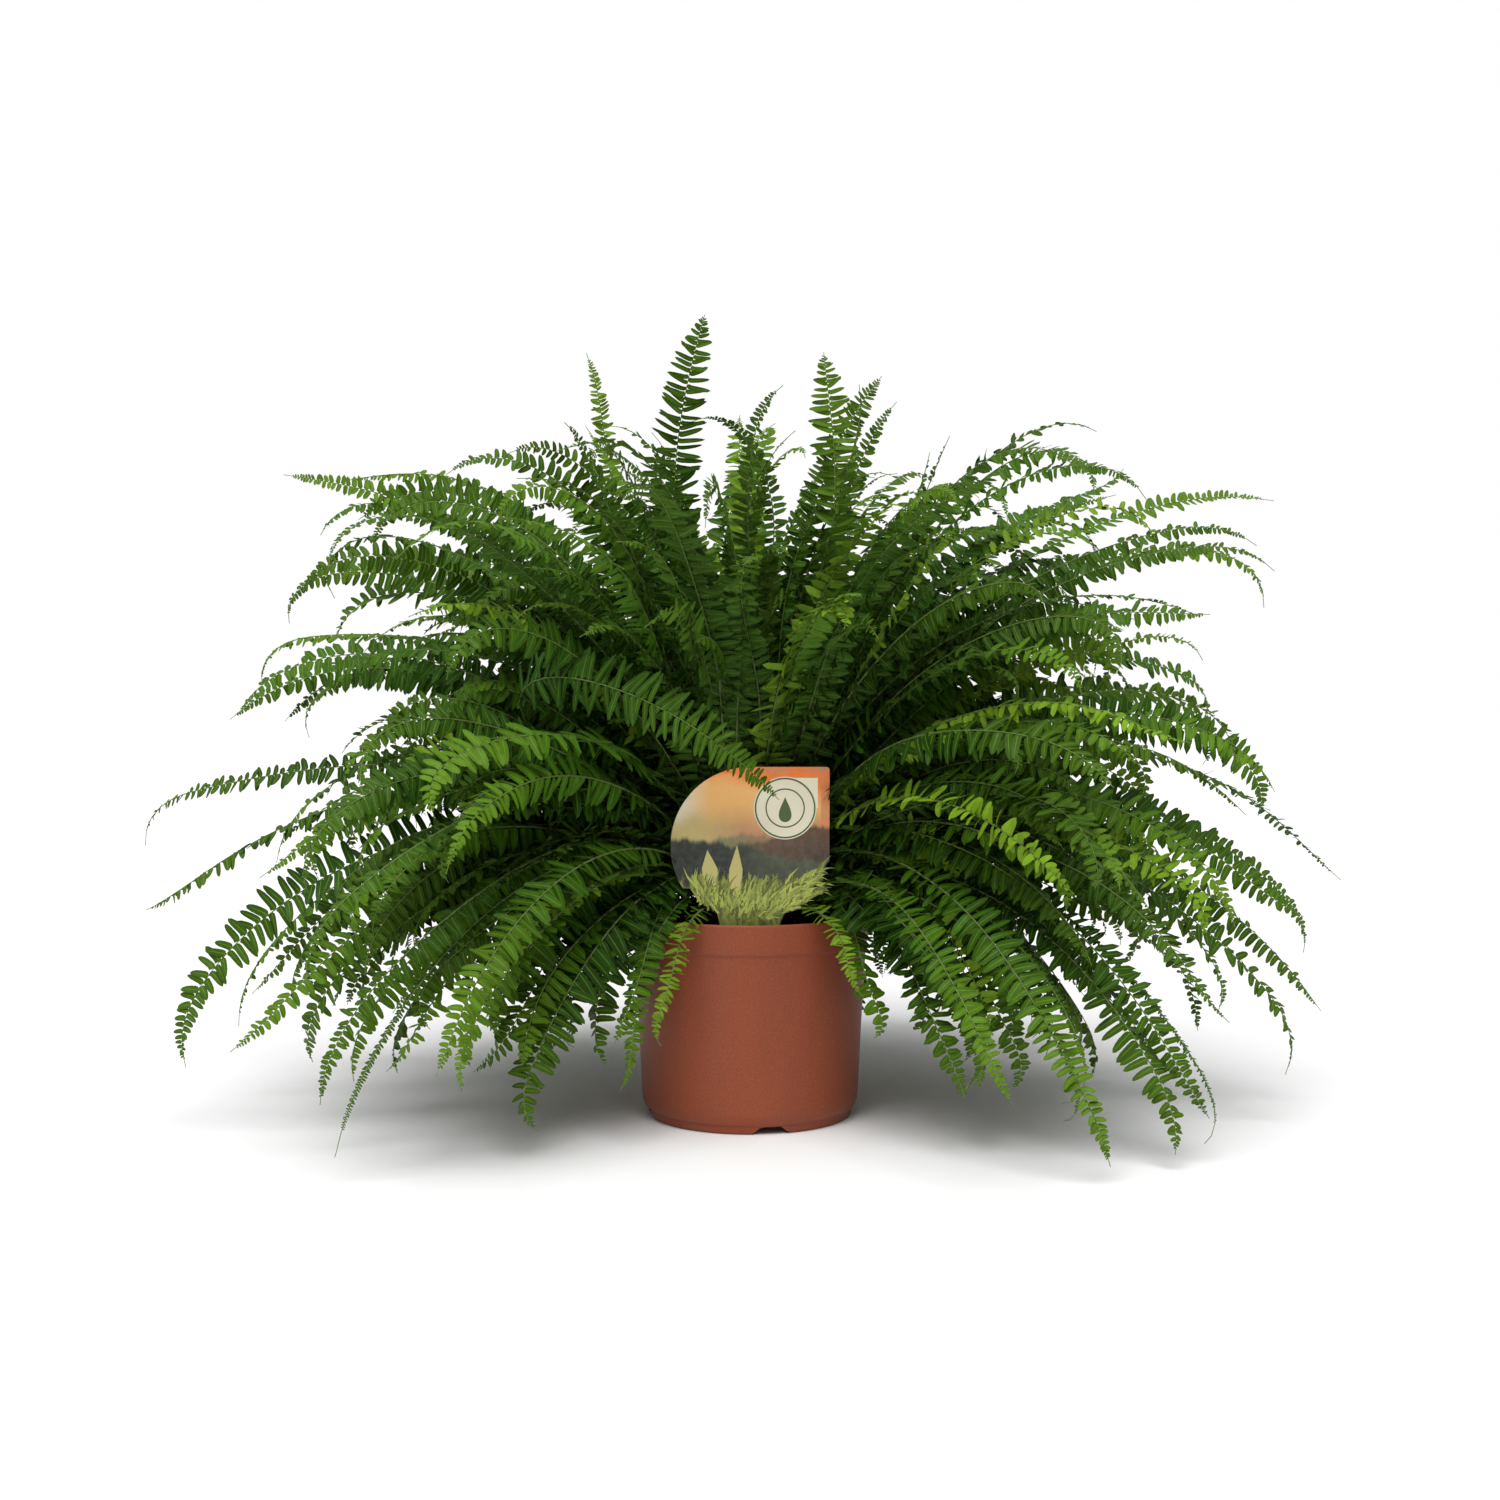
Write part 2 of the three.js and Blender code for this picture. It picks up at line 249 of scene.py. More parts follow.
def blend(tree, share, first, second, kind="MIX"):
    """Mixes two colours by a share from 0 to 1."""
    node = add(tree, "ShaderNodeMix", data_type="RGBA", blend_type=kind)
    feed(tree, node.inputs[0], share)
    for place, item in ((6, first), (7, second)):
        if not isinstance(item, bpy.types.NodeSocket):
            item = (*item[:3], 1.0)
        feed(tree, node.inputs[place], item)
    return node.outputs[2]


def attribute(tree, name, output="Fac"):
    return add(tree, "ShaderNodeAttribute", attribute_name=name).outputs[output]


def noise_field(tree, place, scale, detail=3.0, roughness=0.55, output="Fac"):
    settings = {"Vector": place, "Scale": scale, "Detail": detail, "Roughness": roughness}
    return add(tree, "ShaderNodeTexNoise", settings).outputs[output]


def bump(tree, height, distance, strength=1.0):
    inputs = {"Height": height, "Distance": distance, "Strength": strength}
    return add(tree, "ShaderNodeBump", inputs).outputs["Normal"]


def shader_of(name):
    """A new material, its node tree, its shader and the piece's own coordinates."""
    material = bpy.data.materials.new(name)
    material.use_nodes = True
    tree = material.node_tree
    place = add(tree, "ShaderNodeTexCoord").outputs["Object"]
    return material, tree, tree.nodes["Principled BSDF"], place


def connect(tree, shader, **sources):
    for label, source in sources.items():
        tree.links.new(source, shader.inputs[label.replace("_", " ")])


def shade(colour_now, factor):
    return tuple(min(1.0, c * factor) for c in colour_now)


def new_tree(name, inputs):
    """A Geometry Nodes tree with these named inputs. Gives the tree, its inputs and its end."""
    tree = bpy.data.node_groups.new(name, "GeometryNodeTree")
    tree.is_modifier = True
    face = tree.interface
    face.new_socket("Geometry", in_out="INPUT", socket_type="NodeSocketGeometry")
    face.new_socket("Geometry", in_out="OUTPUT", socket_type="NodeSocketGeometry")
    for label, kind in inputs.items():
        face.new_socket(label, in_out="INPUT", socket_type=f"NodeSocket{kind}")
    start = tree.nodes.new("NodeGroupInput")
    end = tree.nodes.new("NodeGroupOutput")
    return tree, start.outputs, end.inputs["Geometry"]


def run_tree(piece, tree, values):
    """Runs a tree on a piece with these inputs, and leaves its result as the piece's plain mesh."""
    modifier = piece.modifiers.new(tree.name, "NODES")
    modifier.node_group = tree
    for item in tree.interface.items_tree:
        if item.in_out == "INPUT" and item.name in values:
            modifier[item.identifier] = values[item.name]
    bake_modifiers(piece)


def bake_modifiers(piece):
    """Turns a piece's modifiers into its plain mesh and removes them."""
    depsgraph = bpy.context.evaluated_depsgraph_get()
    mesh = bpy.data.meshes.new_from_object(
        piece.evaluated_get(depsgraph), preserve_all_data_layers=True, depsgraph=depsgraph
    )
    mesh.name = piece.name
    piece.modifiers.clear()
    piece.data = mesh
    if not mesh.polygons:
        raise RuntimeError(f"{piece.name} came out with no faces")


def named(tree, name, kind="FLOAT"):
    node = add(tree, "GeometryNodeInputNamedAttribute", {"Name": name}, data_type=kind)
    return find_socket(node.outputs, "Attribute")


def keep(tree, geometry, name, value, kind="FLOAT", domain="POINT"):
    """Stores a value on the geometry under a name."""
    inputs = {"Geometry": geometry, "Name": name, "Value": value}
    node = add(tree, "GeometryNodeStoreNamedAttribute", inputs, data_type=kind, domain=domain)
    return node.outputs["Geometry"]


def chance(tree, low, high, seed, step, kind="FLOAT"):
    """A random value for each point. step keeps one use apart from the next."""
    if kind == "FLOAT_VECTOR":
        low, high = (low,) * 3, (high,) * 3
    inputs = {"Min": low, "Max": high, "Seed": calc(tree, "ADD", seed, float(step))}
    node = add(tree, "FunctionNodeRandomValue", inputs, data_type=kind)
    return find_socket(node.outputs, "Value")


# ---- meshes ---------------------------------------------------------------------------------


def new_piece(name, mesh):
    piece = bpy.data.objects.new(name, mesh)
    bpy.context.scene.collection.objects.link(piece)
    return piece


def mesh_of(name, points, faces, smooth=True):
    mesh = bpy.data.meshes.new(name)
    mesh.from_pydata([tuple(p) for p in points], [], faces)
    mesh.update()
    mesh.polygons.foreach_set("use_smooth", [smooth] * len(mesh.polygons))
    return mesh


def turned_mesh(name, profile, sides, reshape=None):
    """A body of revolution from (radius, height) points that run from the axis round to it again."""
    points = []
    rows = []
    for radius, height in profile:
        if radius < 1e-6:
            rows.append([len(points)])
            points.append((0.0, 0.0, height))
            continue
        rows.append(list(range(len(points), len(points) + sides)))
        for i in range(sides):
            a = 2 * math.pi * i / sides
            spot = (radius * math.cos(a), radius * math.sin(a), height)
            points.append(reshape(spot, a) if reshape else spot)
    faces = []
    for low, high in zip(rows, rows[1:]):
        for i in range(sides):
            j = (i + 1) % sides
            if len(low) == 1:
                faces.append((low[0], high[j], high[i]))
            elif len(high) == 1:
                faces.append((low[i], low[j], high[0]))
            else:
                faces.append((low[i], low[j], high[j], high[i]))
    return mesh_of(name, points, faces)


def join_pieces(first, others):
    """Joins finished meshes into the first piece."""
    with bpy.context.temp_override(
        active_object=first, object=first, selected_editable_objects=[first, *others]
    ):
        bpy.ops.object.join()


def shelf_of(name, meshes):
    """A collection that holds these meshes as loose pieces, for a tree to pick from."""
    shelf = bpy.data.collections.new(name)
    for mesh in meshes:
        shelf.objects.link(bpy.data.objects.new(mesh.name, mesh))
    return shelf


def clear_shelves(*shelves):
    """Removes the loose pieces that a tree has picked from."""
    for shelf in shelves:
        for item in list(shelf.objects):
            mesh = item.data
            bpy.data.objects.remove(item)
            bpy.data.meshes.remove(mesh)
        bpy.data.collections.remove(shelf)


def hold(piece, slot, *nodes):
    """Puts a finished piece on the fern's one body, in the place of these CAD nodes."""
    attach(piece, "root")
    if nodes:
        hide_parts(*nodes)


def smoothstep(values, low, high):
    share = np.clip((values - low) / (high - low), 0, 1)
    return share * share * (3 - 2 * share)


def between(low, high, share):
    return low + (high - low) * share


# ---- the midribs of the fronds --------------------------------------------------------------

# Shares of a midrib's length: where its leaflets start, where it is broadest, where its tip hooks.
STALK_SHARE = 0.06
BROADEST_SHARE = 0.36
HOOK_SHARE = 0.84


class Midrib:
    """A frond's midrib: points along it, which way its blade lies there, and its leaflets' reach."""

    def __init__(self, points, across, longest, age, seed):
        self.points = points
        self.run = np.concatenate([[0], np.linalg.norm(np.diff(points, axis=0), axis=1).cumsum()])
        self.share = self.run / self.run[-1]
        self.along = np.gradient(points, axis=0)
        self.along /= np.linalg.norm(self.along, axis=1, keepdims=True)
        across = across - (across * self.along).sum(1, keepdims=True) * self.along
        self.across = across / np.linalg.norm(across, axis=1, keepdims=True)
        self.age = age
        self.longest = longest
        self.fineness = 1.0
        self.random = np.random.default_rng(seed)
        self.half = self.leaflet_reach(longest)

    def leaflet_reach(self, longest, fullness=None):
        """How far the leaflets reach from the midrib: sooner wide, and later narrow, than the CAD."""
        soon = smoothstep(self.share, STALK_SHARE, 0.13)
        late = smoothstep(self.share, 0.1, BROADEST_SHARE)
        rise = 0.6 * soon + 0.4 * late
        past = np.clip((self.share - BROADEST_SHARE) / (1 - BROADEST_SHARE), 0, 1)
        return longest * rise * (1 - past ** (fullness or self.random.uniform(2.4, 4.8)))

    def swayed(self, most, hook=1.0):
        """Lets the midrib wander, its blade twist and its tip hook, as a grown frond's do."""
        wave = np.sin(self.share * self.random.uniform(5, 10) + self.random.uniform(0, 6.3))
        aside = wave * self.share * self.random.uniform(0.3, 1.0) * most
        moved = self.points + self.across * aside[:, None]
        steps = np.diff(moved, axis=0)
        bend = np.clip((self.share[1:] - HOOK_SHARE) / (1 - HOOK_SHARE), 0, 1)[:, None] ** 2
        down = np.radians(self.random.uniform(-25, 90)) * hook * bend
        sidle = np.radians(self.random.uniform(-45, 45)) * hook * bend
        size = np.linalg.norm(steps, axis=1, keepdims=True)
        up = np.cross(self.across, self.along)[1:]
        turned = steps * np.cos(down) - up * size * np.sin(down)
        turned = turned * np.cos(sidle) + self.across[1:] * size * np.sin(sidle)
        moved = np.vstack([moved[:1], moved[0] + turned.cumsum(0)])
        rib = Midrib(moved, self.across, self.longest, self.age, self.random.integers(1 << 30))
        wave = np.sin(rib.share * rib.random.uniform(4, 11) + rib.random.uniform(0, 6.3))
        return rib.rolled(wave * rib.random.uniform(8, 26))

    def rolled(self, degrees, start=0.05, end=0.45):
        """Turns the blade about the midrib, more and more between these shares of its length."""
        turn = (np.radians(degrees) * smoothstep(self.share, start, end))[:, None]
        up = np.cross(self.across, self.along)
        self.across = self.across * np.cos(turn) + up * np.sin(turn)
        return self

    def faced(self, most, part):
        """Rolls the blade part of the way to show its upper face to the front, by most degrees."""
        place = int(len(self.share) * 0.6)
        along = self.along[place]
        across = self.across[place]
        goal = np.cross(along, FRONT)
        turn = math.atan2(np.dot(goal, np.cross(across, along)), np.dot(goal, across))
        behind = smoothstep(self.points[-1, 1], 0.05, 0.25)
        return self.rolled(np.clip(math.degrees(turn), -most, most) * part * (1 - 0.7 * behind))


def smooth_through(knots, steps):
    """A smooth line through these knots, with this many steps from each to the next."""
    ends = np.vstack([2 * knots[0] - knots[1], knots, 2 * knots[-1] - knots[-2]])
    rows = []
    for i in range(1, len(ends) - 2):
        before, start, end, after = ends[i - 1 : i + 3]
        for step in range(steps):
            t = step / steps
            a = 2 * start
            b = end - before
            c = 2 * before - 5 * start + 4 * end - after
            d = 3 * start - before - 3 * end + after
            rows.append(0.5 * (a + b * t + c * t * t + d * t**3))
    rows.append(knots[-1])
    return np.array(rows)


def cross_sections(name):
    """The corners of a CAD frond, one cross section after another from its root to its tip."""
    bm = bmesh.new()
    bm.from_mesh(frame["nodes"][name].data)
    bmesh.ops.remove_doubles(bm, verts=bm.verts, dist=1e-5)
    bm.verts.index_update()
    root = min(bm.verts, key=lambda v: (v.co - CROWN_HEART).length)
    layer = [root]
    seen = {root}
    sections = []
    while layer:
        sections.append(np.array([v.co for v in layer]))
        nearby = {e.other_vert(v) for v in layer for e in v.link_edges} - seen
        seen |= nearby
        layer = sorted(nearby, key=lambda v: v.index)
    bm.free()
    return sections


def cad_midrib(name, age, seed):
    """The midrib of a CAD frond, read from its cross sections."""
    knots = []
    ribs = []
    halves = []
    for section in cross_sections(name):
        middle = section.mean(0)
        knots.append(middle)
        reach = np.linalg.norm(section - middle, axis=1)
        widest = np.argsort(reach)[-2:]
        halves.append(reach[widest[0]] if len(section) == 4 else 0.0)
        ribs.append(section[widest[1]] - section[widest[0]] if len(section) == 4 else None)
    ribs[0] = ribs[1].copy()
    ribs[-1] = ribs[-2].copy()
    along = np.gradient(np.array(knots), axis=0)
    if np.cross(ribs[1], along[1])[2] < 0:
        ribs[0] = -ribs[0]
    for i in range(1, len(ribs)):
        if np.dot(ribs[i], ribs[i - 1]) < 0:
            ribs[i] = -ribs[i]
    units = np.array([r / np.linalg.norm(r) for r in ribs])
    return Midrib(
        smooth_through(np.array(knots), 7), smooth_through(units, 7), max(halves), age, seed
    )


def heading(azimuth, elevation=0.0):
    a = math.radians(azimuth)
    e = math.radians(elevation)
    return np.array([math.cos(e) * math.cos(a), math.cos(e) * math.sin(a), math.sin(e)])


def root_point(azimuth, launch):
    radius = ROOT_RING + ROOT_SPREAD * math.cos(math.radians(launch))
    skin = CROWN_LOW.z + CROWN_RISE * math.sqrt(1 - (radius / CROWN_RADIUS) ** 2)
    return heading(azimuth) * radius + np.array([0, 0, skin + 0.0006])


def through_handles(start, first, second, end, width, square, age, seed):
    """A midrib on a curve with two handles. square is level, across the way that it leans."""
    t = np.linspace(0, 1, 70)[:, None]
    points = (
        start * (1 - t) ** 3
        + 3 * first * t * (1 - t) ** 2
        + 3 * second * t**2 * (1 - t)
        + end * t**3
    )
    across = np.tile(square, (len(t), 1))
    return Midrib(points, across, width / 2, age, seed)


def arched(azimuth, launch, reach, height, droop, width, age, swing=0, roll=0, seed=0):
    """A midrib that leaves the crown at this launch angle and droops to its tip, as in the CAD."""
    start = root_point(azimuth, launch)
    end = heading(azimuth + swing) * reach + np.array([0, 0, height])
    chord = np.linalg.norm(end - start)
    first = start + heading(azimuth, launch) * 0.42 * chord
    second = end - heading(azimuth + 2 * swing, droop) * 0.36 * chord
    square = heading(azimuth + swing - 90)
    rib = through_handles(start, first, second, end, width, square, age, seed)
    return rib.swayed(0.02).rolled(roll, 0.0, 0.5)


def in_box(rib):
    """Whether a midrib stays inside the CAD model's box, a little above its floor."""
    low, high = np.array(CAD_BOX[0]), np.array(CAD_BOX[1])
    low[2] += 0.006
    return (rib.points > low).all() and (rib.points < high).all()


def crosses_front(rib, margin=0.8):
    """Whether the camera would see a frond in front of the label or of the pot's middle."""
    depth = (LABEL_FACE - CAMERA_SPOT.y) / (rib.points[:, 1] - CAMERA_SPOT.y)
    x = rib.points[:, 0] * depth
    z = (rib.points[:, 2] - CAMERA_SPOT.z) * depth + CAMERA_SPOT.z
    room = rib.half * margin
    ahead = rib.points[:, 1] < LABEL_FACE + 0.01
    over_label = (np.abs(x) < LABEL_RADIUS + room) & (z < LABEL_HIGH.z + room) & (z > 0.17)
    bare_half = between(0.062, 0.100, np.clip((POT_TOP - z) / 0.09, 0, 1))
    over_pot = (np.abs(x) < bare_half + room) & (z < 0.185)
    return bool((ahead & (over_label | over_pot)).any())


def meets_pot(rib):
    """Whether a midrib would run through the pot's wall."""
    radius = np.hypot(rib.points[:, 0], rib.points[:, 1])
    low = rib.points[:, 2] < POT_TOP + 0.004
    return bool((low & (radius < POT_RADIUS + 0.006) & (rib.share > 0.03)).any())


# ---- leaflets -------------------------------------------------------------------------------

# A leaflet's outline: how far along it, the half width of its lobed side, and of its plain side.
LEAFLET_OUTLINE = [
    (0.00, 0.07, 0.07),
    (0.07, 0.64, 0.38),
    (0.20, 0.51, 0.47),
    (0.45, 0.49, 0.46),
    (0.70, 0.43, 0.41),
    (0.90, 0.27, 0.26),
    (1.00, 0.0, 0.0),
]

# The same with fewer steps, for the fronds inside.
PLAIN_OUTLINE = [
    (0.00, 0.07, 0.07),
    (0.14, 0.60, 0.42),
    (0.74, 0.45, 0.43),
    (1.00, 0.0, 0.0),
]

# Each kind of leaflet: how far its tip bends down, how far it twists, and how much its edges lift.
LEAFLET_KINDS = [
    (0.05, 0.00, 0.10),
    (0.14, 0.25, 0.16),
    (-0.04, -0.18, 0.05),
    (0.24, 0.10, 0.22),
    (0.10, -0.45, 0.12),
]


# In lengths of a leaflet: its usual width, its thickness at the base and at the tip. SWEEP is how
# far its tip curves towards the frond's, in widths.
LEAFLET_SLIMNESS = 0.27
LEAFLET_THICKNESS = 0.02
LEAFLET_TIP_THICKNESS = 0.004
LEAFLET_SWEEP = 0.24

# The shortest leaflet that is grown, the shortest step between two, and the step along the stalk,
# in metres.
SHORTEST_LEAFLET = 0.0019
SHORTEST_STEP = 0.0011
STALK_STEP = 0.009

RIB_STEPS = 40
RIB_SIDES = 6


def leaflet_mesh(name, outline, side, bend, twist, cup):
    """One leaflet, a closed blade a unit long and a unit wide. side is 1 for a right-hand one."""
    points = []
    marks = []
    for along, lobe, plain in outline:
        centre = LEAFLET_SWEEP * along**2
        turn = math.sin(twist * along)
        base = -bend * along**2
        for place, y in enumerate((lobe, 0.0, -plain, 0.0) if lobe else (0.0,)):
            lift = cup * LEAFLET_SLIMNESS * abs(y) + turn * LEAFLET_SLIMNESS * y
            depth = LEAFLET_THICKNESS * (1 - along) + LEAFLET_TIP_THICKNESS
            drop = depth if place == 3 else 0.0
            points.append((along, side * (centre + y), base + lift - drop))
            marks.append((y / max(lobe, plain, 0.01), along, 0.0))
    faces = [(0, 1, 2, 3)]
    under = [1.0]
    last = len(points) - 1
    for i in range(len(outline) - 1):
        a = 4 * i
        b = a + 4
        for j in range(4):
            k = (j + 1) % 4
            if b == last:
                faces.append((a + j, last, a + k))
            else:
                faces.append((a + j, b + j, b + k, a + k))
            under.append(1.0 if j >= 2 else 0.0)
    if side > 0:
        faces = [tuple(reversed(face)) for face in faces]
    mesh = mesh_of(name, points, faces)
    rims = {0, 2}
    for edge in mesh.edges:
        a, b = sorted(edge.vertices)
        if a % 4 in rims and (b == a + 4 or b == last):
            edge.use_edge_sharp = True
    mesh.attributes.new("blade_at", "FLOAT_VECTOR", "POINT").data.foreach_set(
        "vector", np.array(marks, np.float32).ravel()
    )
    mesh.attributes.new("underside", "FLOAT", "FACE").data.foreach_set("value", under)
    return mesh


def leaflet_collections(label, outline):
    """The leaflets that fronds are made from, as a right-hand and a left-hand collection."""
    shelves = []
    for hand, side in (("right", 1), ("left", -1)):
        leaflets = [
            leaflet_mesh(f"{label}_leaflet_{hand}_{i}", outline, side, *kind)
            for i, kind in enumerate(LEAFLET_KINDS)
        ]
        shelves.append(shelf_of(f"{label}_leaflets_{hand}", leaflets))
    return shelves


def frond_tree():
    """Grows fronds on midribs: a tapering rib, and leaflets left and right of it in turn."""
    tree, given, end = new_tree(
        "fern_fronds",
        {
            "Right leaflets": "Collection",
            "Left leaflets": "Collection",
            "Leaflet width": "Float",
            "Widening": "Float",
            "Lean base": "Float",
            "Lean tip": "Float",
            "Unevenness": "Float",
            "Seed": "Int",
            "Leaf": "Material",
            "Stem": "Material",
        },
    )
    curve = add(tree, "GeometryNodeMeshToCurve", {"Mesh": given["Geometry"]}).outputs["Curve"]
    half = named(tree, "half")
    share = named(tree, "share")
    across = named(tree, "across", "FLOAT_VECTOR")
    along = add(tree, "GeometryNodeInputTangent").outputs["Tangent"]
    up = vector_calc(tree, "NORMALIZE", vector_calc(tree, "CROSS_PRODUCT", across, along))
    index = add(tree, "GeometryNodeSplineParameter").outputs["Index"]
    left = calc(tree, "MODULO", index, 2.0)
    side = calc(tree, "SUBTRACT", 1.0, calc(tree, "MULTIPLY", left, 2.0))
    seed = given["Seed"]

    lean = remap(tree, share, 0.1, 1.0, given["Lean base"], given["Lean tip"], smooth=False)
    sideways = calc(tree, "MULTIPLY", side, calc(tree, "COSINE", lean))
    outward = vector_calc(
        tree,
        "ADD",
        vector_calc(tree, "SCALE", across, sideways),
        vector_calc(tree, "SCALE", along, calc(tree, "SINE", lean)),
    )
    stand = add(
        tree,
        "FunctionNodeAxesToRotation",
        {"Primary Axis": up, "Secondary Axis": outward},
        primary_axis="Z",
        secondary_axis="X",
    ).outputs["Rotation"]
    uneven = vector_calc(
        tree,
        "SCALE",
        chance(tree, -1.0, 1.0, seed, 1, "FLOAT_VECTOR"),
        given["Unevenness"],
    )
    usual = add(
        tree,
        "ShaderNodeCombineXYZ",
        {
            "X": calc(tree, "MULTIPLY", side, named(tree, "twist")),
            "Y": calc(tree, "MULTIPLY", named(tree, "lift"), -1.0),
            "Z": 0.0,
        },
    ).outputs["Vector"]
    turn = add(
        tree, "FunctionNodeEulerToRotation", {"Euler": vector_calc(tree, "ADD", usual, uneven)}
    ).outputs["Rotation"]
    facing = add(
        tree,
        "FunctionNodeRotateRotation",
        {"Rotation": stand, "Rotate By": turn},
        rotation_space="LOCAL",
    ).outputs["Rotation"]

    size = calc(tree, "MULTIPLY", half, chance(tree, 0.9, 1.07, seed, 2))
    short = calc(tree, "DIVIDE", calc(tree, "MULTIPLY", half, -1.0), given["Widening"])
    short = calc(tree, "EXPONENT", short)
    width = calc(tree, "MULTIPLY", given["Leaflet width"], calc(tree, "SUBTRACT", 1.0, short))
    width = calc(tree, "MULTIPLY", width, named(tree, "fineness"))
    width = calc(tree, "MULTIPLY", width, chance(tree, 0.88, 1.12, seed, 3))
    scale = add(tree, "ShaderNodeCombineXYZ", {"X": size, "Y": width, "Z": size}).outputs["Vector"]

    curve = keep(tree, curve, "tone", chance(tree, 0.0, 1.0, seed, 4))
    leaflet = add(tree, "GeometryNodeInputIndex").outputs["Index"]
    curve = keep(tree, curve, "leaflet", leaflet, "INT")
    grown = calc(tree, "GREATER_THAN", half, SHORTEST_LEAFLET)
    rows = []
    for collection, row in (
        (given["Right leaflets"], calc(tree, "LESS_THAN", left, 0.5)),
        (given["Left leaflets"], calc(tree, "GREATER_THAN", left, 0.5)),
    ):
        shelf = add(
            tree,
            "GeometryNodeCollectionInfo",
            {"Collection": collection, "Separate Children": True, "Reset Children": True},
        ).outputs["Instances"]
        kind = chance(tree, 0, len(LEAFLET_KINDS) - 1, seed, 5, "INT")
        placed = add(
            tree,
            "GeometryNodeInstanceOnPoints",
            {
                "Points": curve,
                "Selection": calc(tree, "MULTIPLY", row, grown),
                "Instance": shelf,
                "Pick Instance": True,
                "Instance Index": kind,
                "Rotation": facing,
                "Scale": scale,
            },
        )
        rows.append(placed.outputs["Instances"])

    circle = add(
        tree, "GeometryNodeCurvePrimitiveCircle", {"Resolution": RIB_SIDES, "Radius": 1.0}
    ).outputs["Curve"]
    factor = add(tree, "GeometryNodeSplineParameter").outputs["Factor"]
    circle = keep(tree, circle, "turn", factor)
    line = add(
        tree, "GeometryNodeResampleCurve", {"Curve": curve, "Count": RIB_STEPS}
    ).outputs["Curve"]
    rib = add(
        tree,
        "GeometryNodeCurveToMesh",
        {"Curve": line, "Profile Curve": circle, "Scale": named(tree, "stem"), "Fill Caps": True},
    ).outputs["Mesh"]
    rib = add(tree, "GeometryNodeSetShadeSmooth", {"Geometry": rib}).outputs["Geometry"]
    rib = keep(tree, rib, "woody", 1.0, domain="FACE")

    everything = add(tree, "GeometryNodeJoinGeometry")
    for part in (*rows, rib):
        tree.links.new(part, everything.inputs[0])
    result = add(
        tree, "GeometryNodeRealizeInstances", {"Geometry": everything.outputs[0]}
    ).outputs["Geometry"]
    woody = named(tree, "woody")
    leafy = calc(tree, "LESS_THAN", woody, 0.5)
    for selection, material in ((leafy, given["Leaf"]), (woody, given["Stem"])):
        result = add(
            tree,
            "GeometryNodeSetMaterial",
            {"Geometry": result, "Selection": selection, "Material": material},
        ).outputs["Geometry"]
    tree.links.new(result, end)
    return tree


def leaflet_stations(rib, settings):
    """Distances along a midrib at which a leaflet stands, left and right in turn."""
    stations = []
    at = 0.0
    while at < rib.run[-1] - 0.0012:  # the tip itself is the last station
        stations.append(at)
        half = np.interp(at, rib.run, rib.half)
        width = settings.leaflet_width * (1 - math.exp(-half / settings.widening)) * rib.fineness
        bare = at < STALK_SHARE * rib.run[-1]
        at += STALK_STEP if bare else max(settings.spacing * width, SHORTEST_STEP)
    return np.array([*stations, rib.run[-1]])


def midrib_mesh(name, ribs, settings):
    """The midribs of one piece as a mesh of edges that carries what its leaflets need."""
    points = []
    edges = []
    labels = ("half", "share", "stem", "lift", "twist", "hue", "frond", "fineness")
    values = {label: [] for label in labels}
    sideways = []
    for number, rib in enumerate(ribs):
        at = leaflet_stations(rib, settings)
        first = len(points)
        count = len(at)
        for axis in (rib.points, rib.across):
            rows = np.stack([np.interp(at, rib.run, axis[:, i]) for i in range(3)], 1)
            (points if axis is rib.points else sideways).extend(rows)
        edges.extend((first + i, first + i + 1) for i in range(count - 1))
        share = at / at[-1]
        lift = rib.random.uniform(-28, 14)
        twist = rib.random.uniform(-6, 26)
        sway = np.sin(share * rib.random.uniform(5, 11) + rib.random.uniform(0, 6))
        values["share"].extend(share)
        values["half"].extend(np.interp(at, rib.run, rib.half))
        values["stem"].extend(between(settings.stem_radius, settings.stem_tip, share**0.7))
        values["lift"].extend(np.radians(lift + 7 * sway))
        values["twist"].extend(np.radians(twist * (0.6 + 0.4 * sway)))
        # Painted shade: the lower a frond's tip hangs, the darker the random tone it may take, as though
        # in the shade of the fronds above.
        painted_shade_cap = 0.3 + 0.7 * smoothstep(rib.points[-1, 2], 0.05, 0.40)
        values["hue"].extend([rib.random.uniform(0, painted_shade_cap)] * count)
        values["fineness"].extend([rib.fineness] * count)
        values["frond"].extend([number] * count)
    mesh = bpy.data.meshes.new(name)
    mesh.from_pydata([tuple(p) for p in points], edges, [])
    for label, numbers in values.items():
        mesh.attributes.new(label, "FLOAT", "POINT").data.foreach_set(
            "value", np.array(numbers, np.float32)
        )
    mesh.attributes.new("across", "FLOAT_VECTOR", "POINT").data.foreach_set(
        "vector", np.array(sideways, np.float32).ravel()
    )
    return mesh


def numbers_of(mesh, name, width=1):
    """An attribute's numbers as an array, one row for each point, face or corner."""
    found = mesh.attributes.get(name)
    if found is None:
        raise RuntimeError(f"{mesh.name} has no attribute {name}")
    kind = np.int32 if found.data_type == "INT" else np.float32
    numbers = np.zeros(len(found.data) * width, kind)
    found.data.foreach_get("vector" if width == 3 else "value", numbers)
    return numbers.reshape(-1, width) if width > 1 else numbers


# A leaflet's cell on the map: its height in widths, and the share of it that is left empty.
MAP_CELL_HEIGHT = 3.4
MAP_MARGIN = 0.1


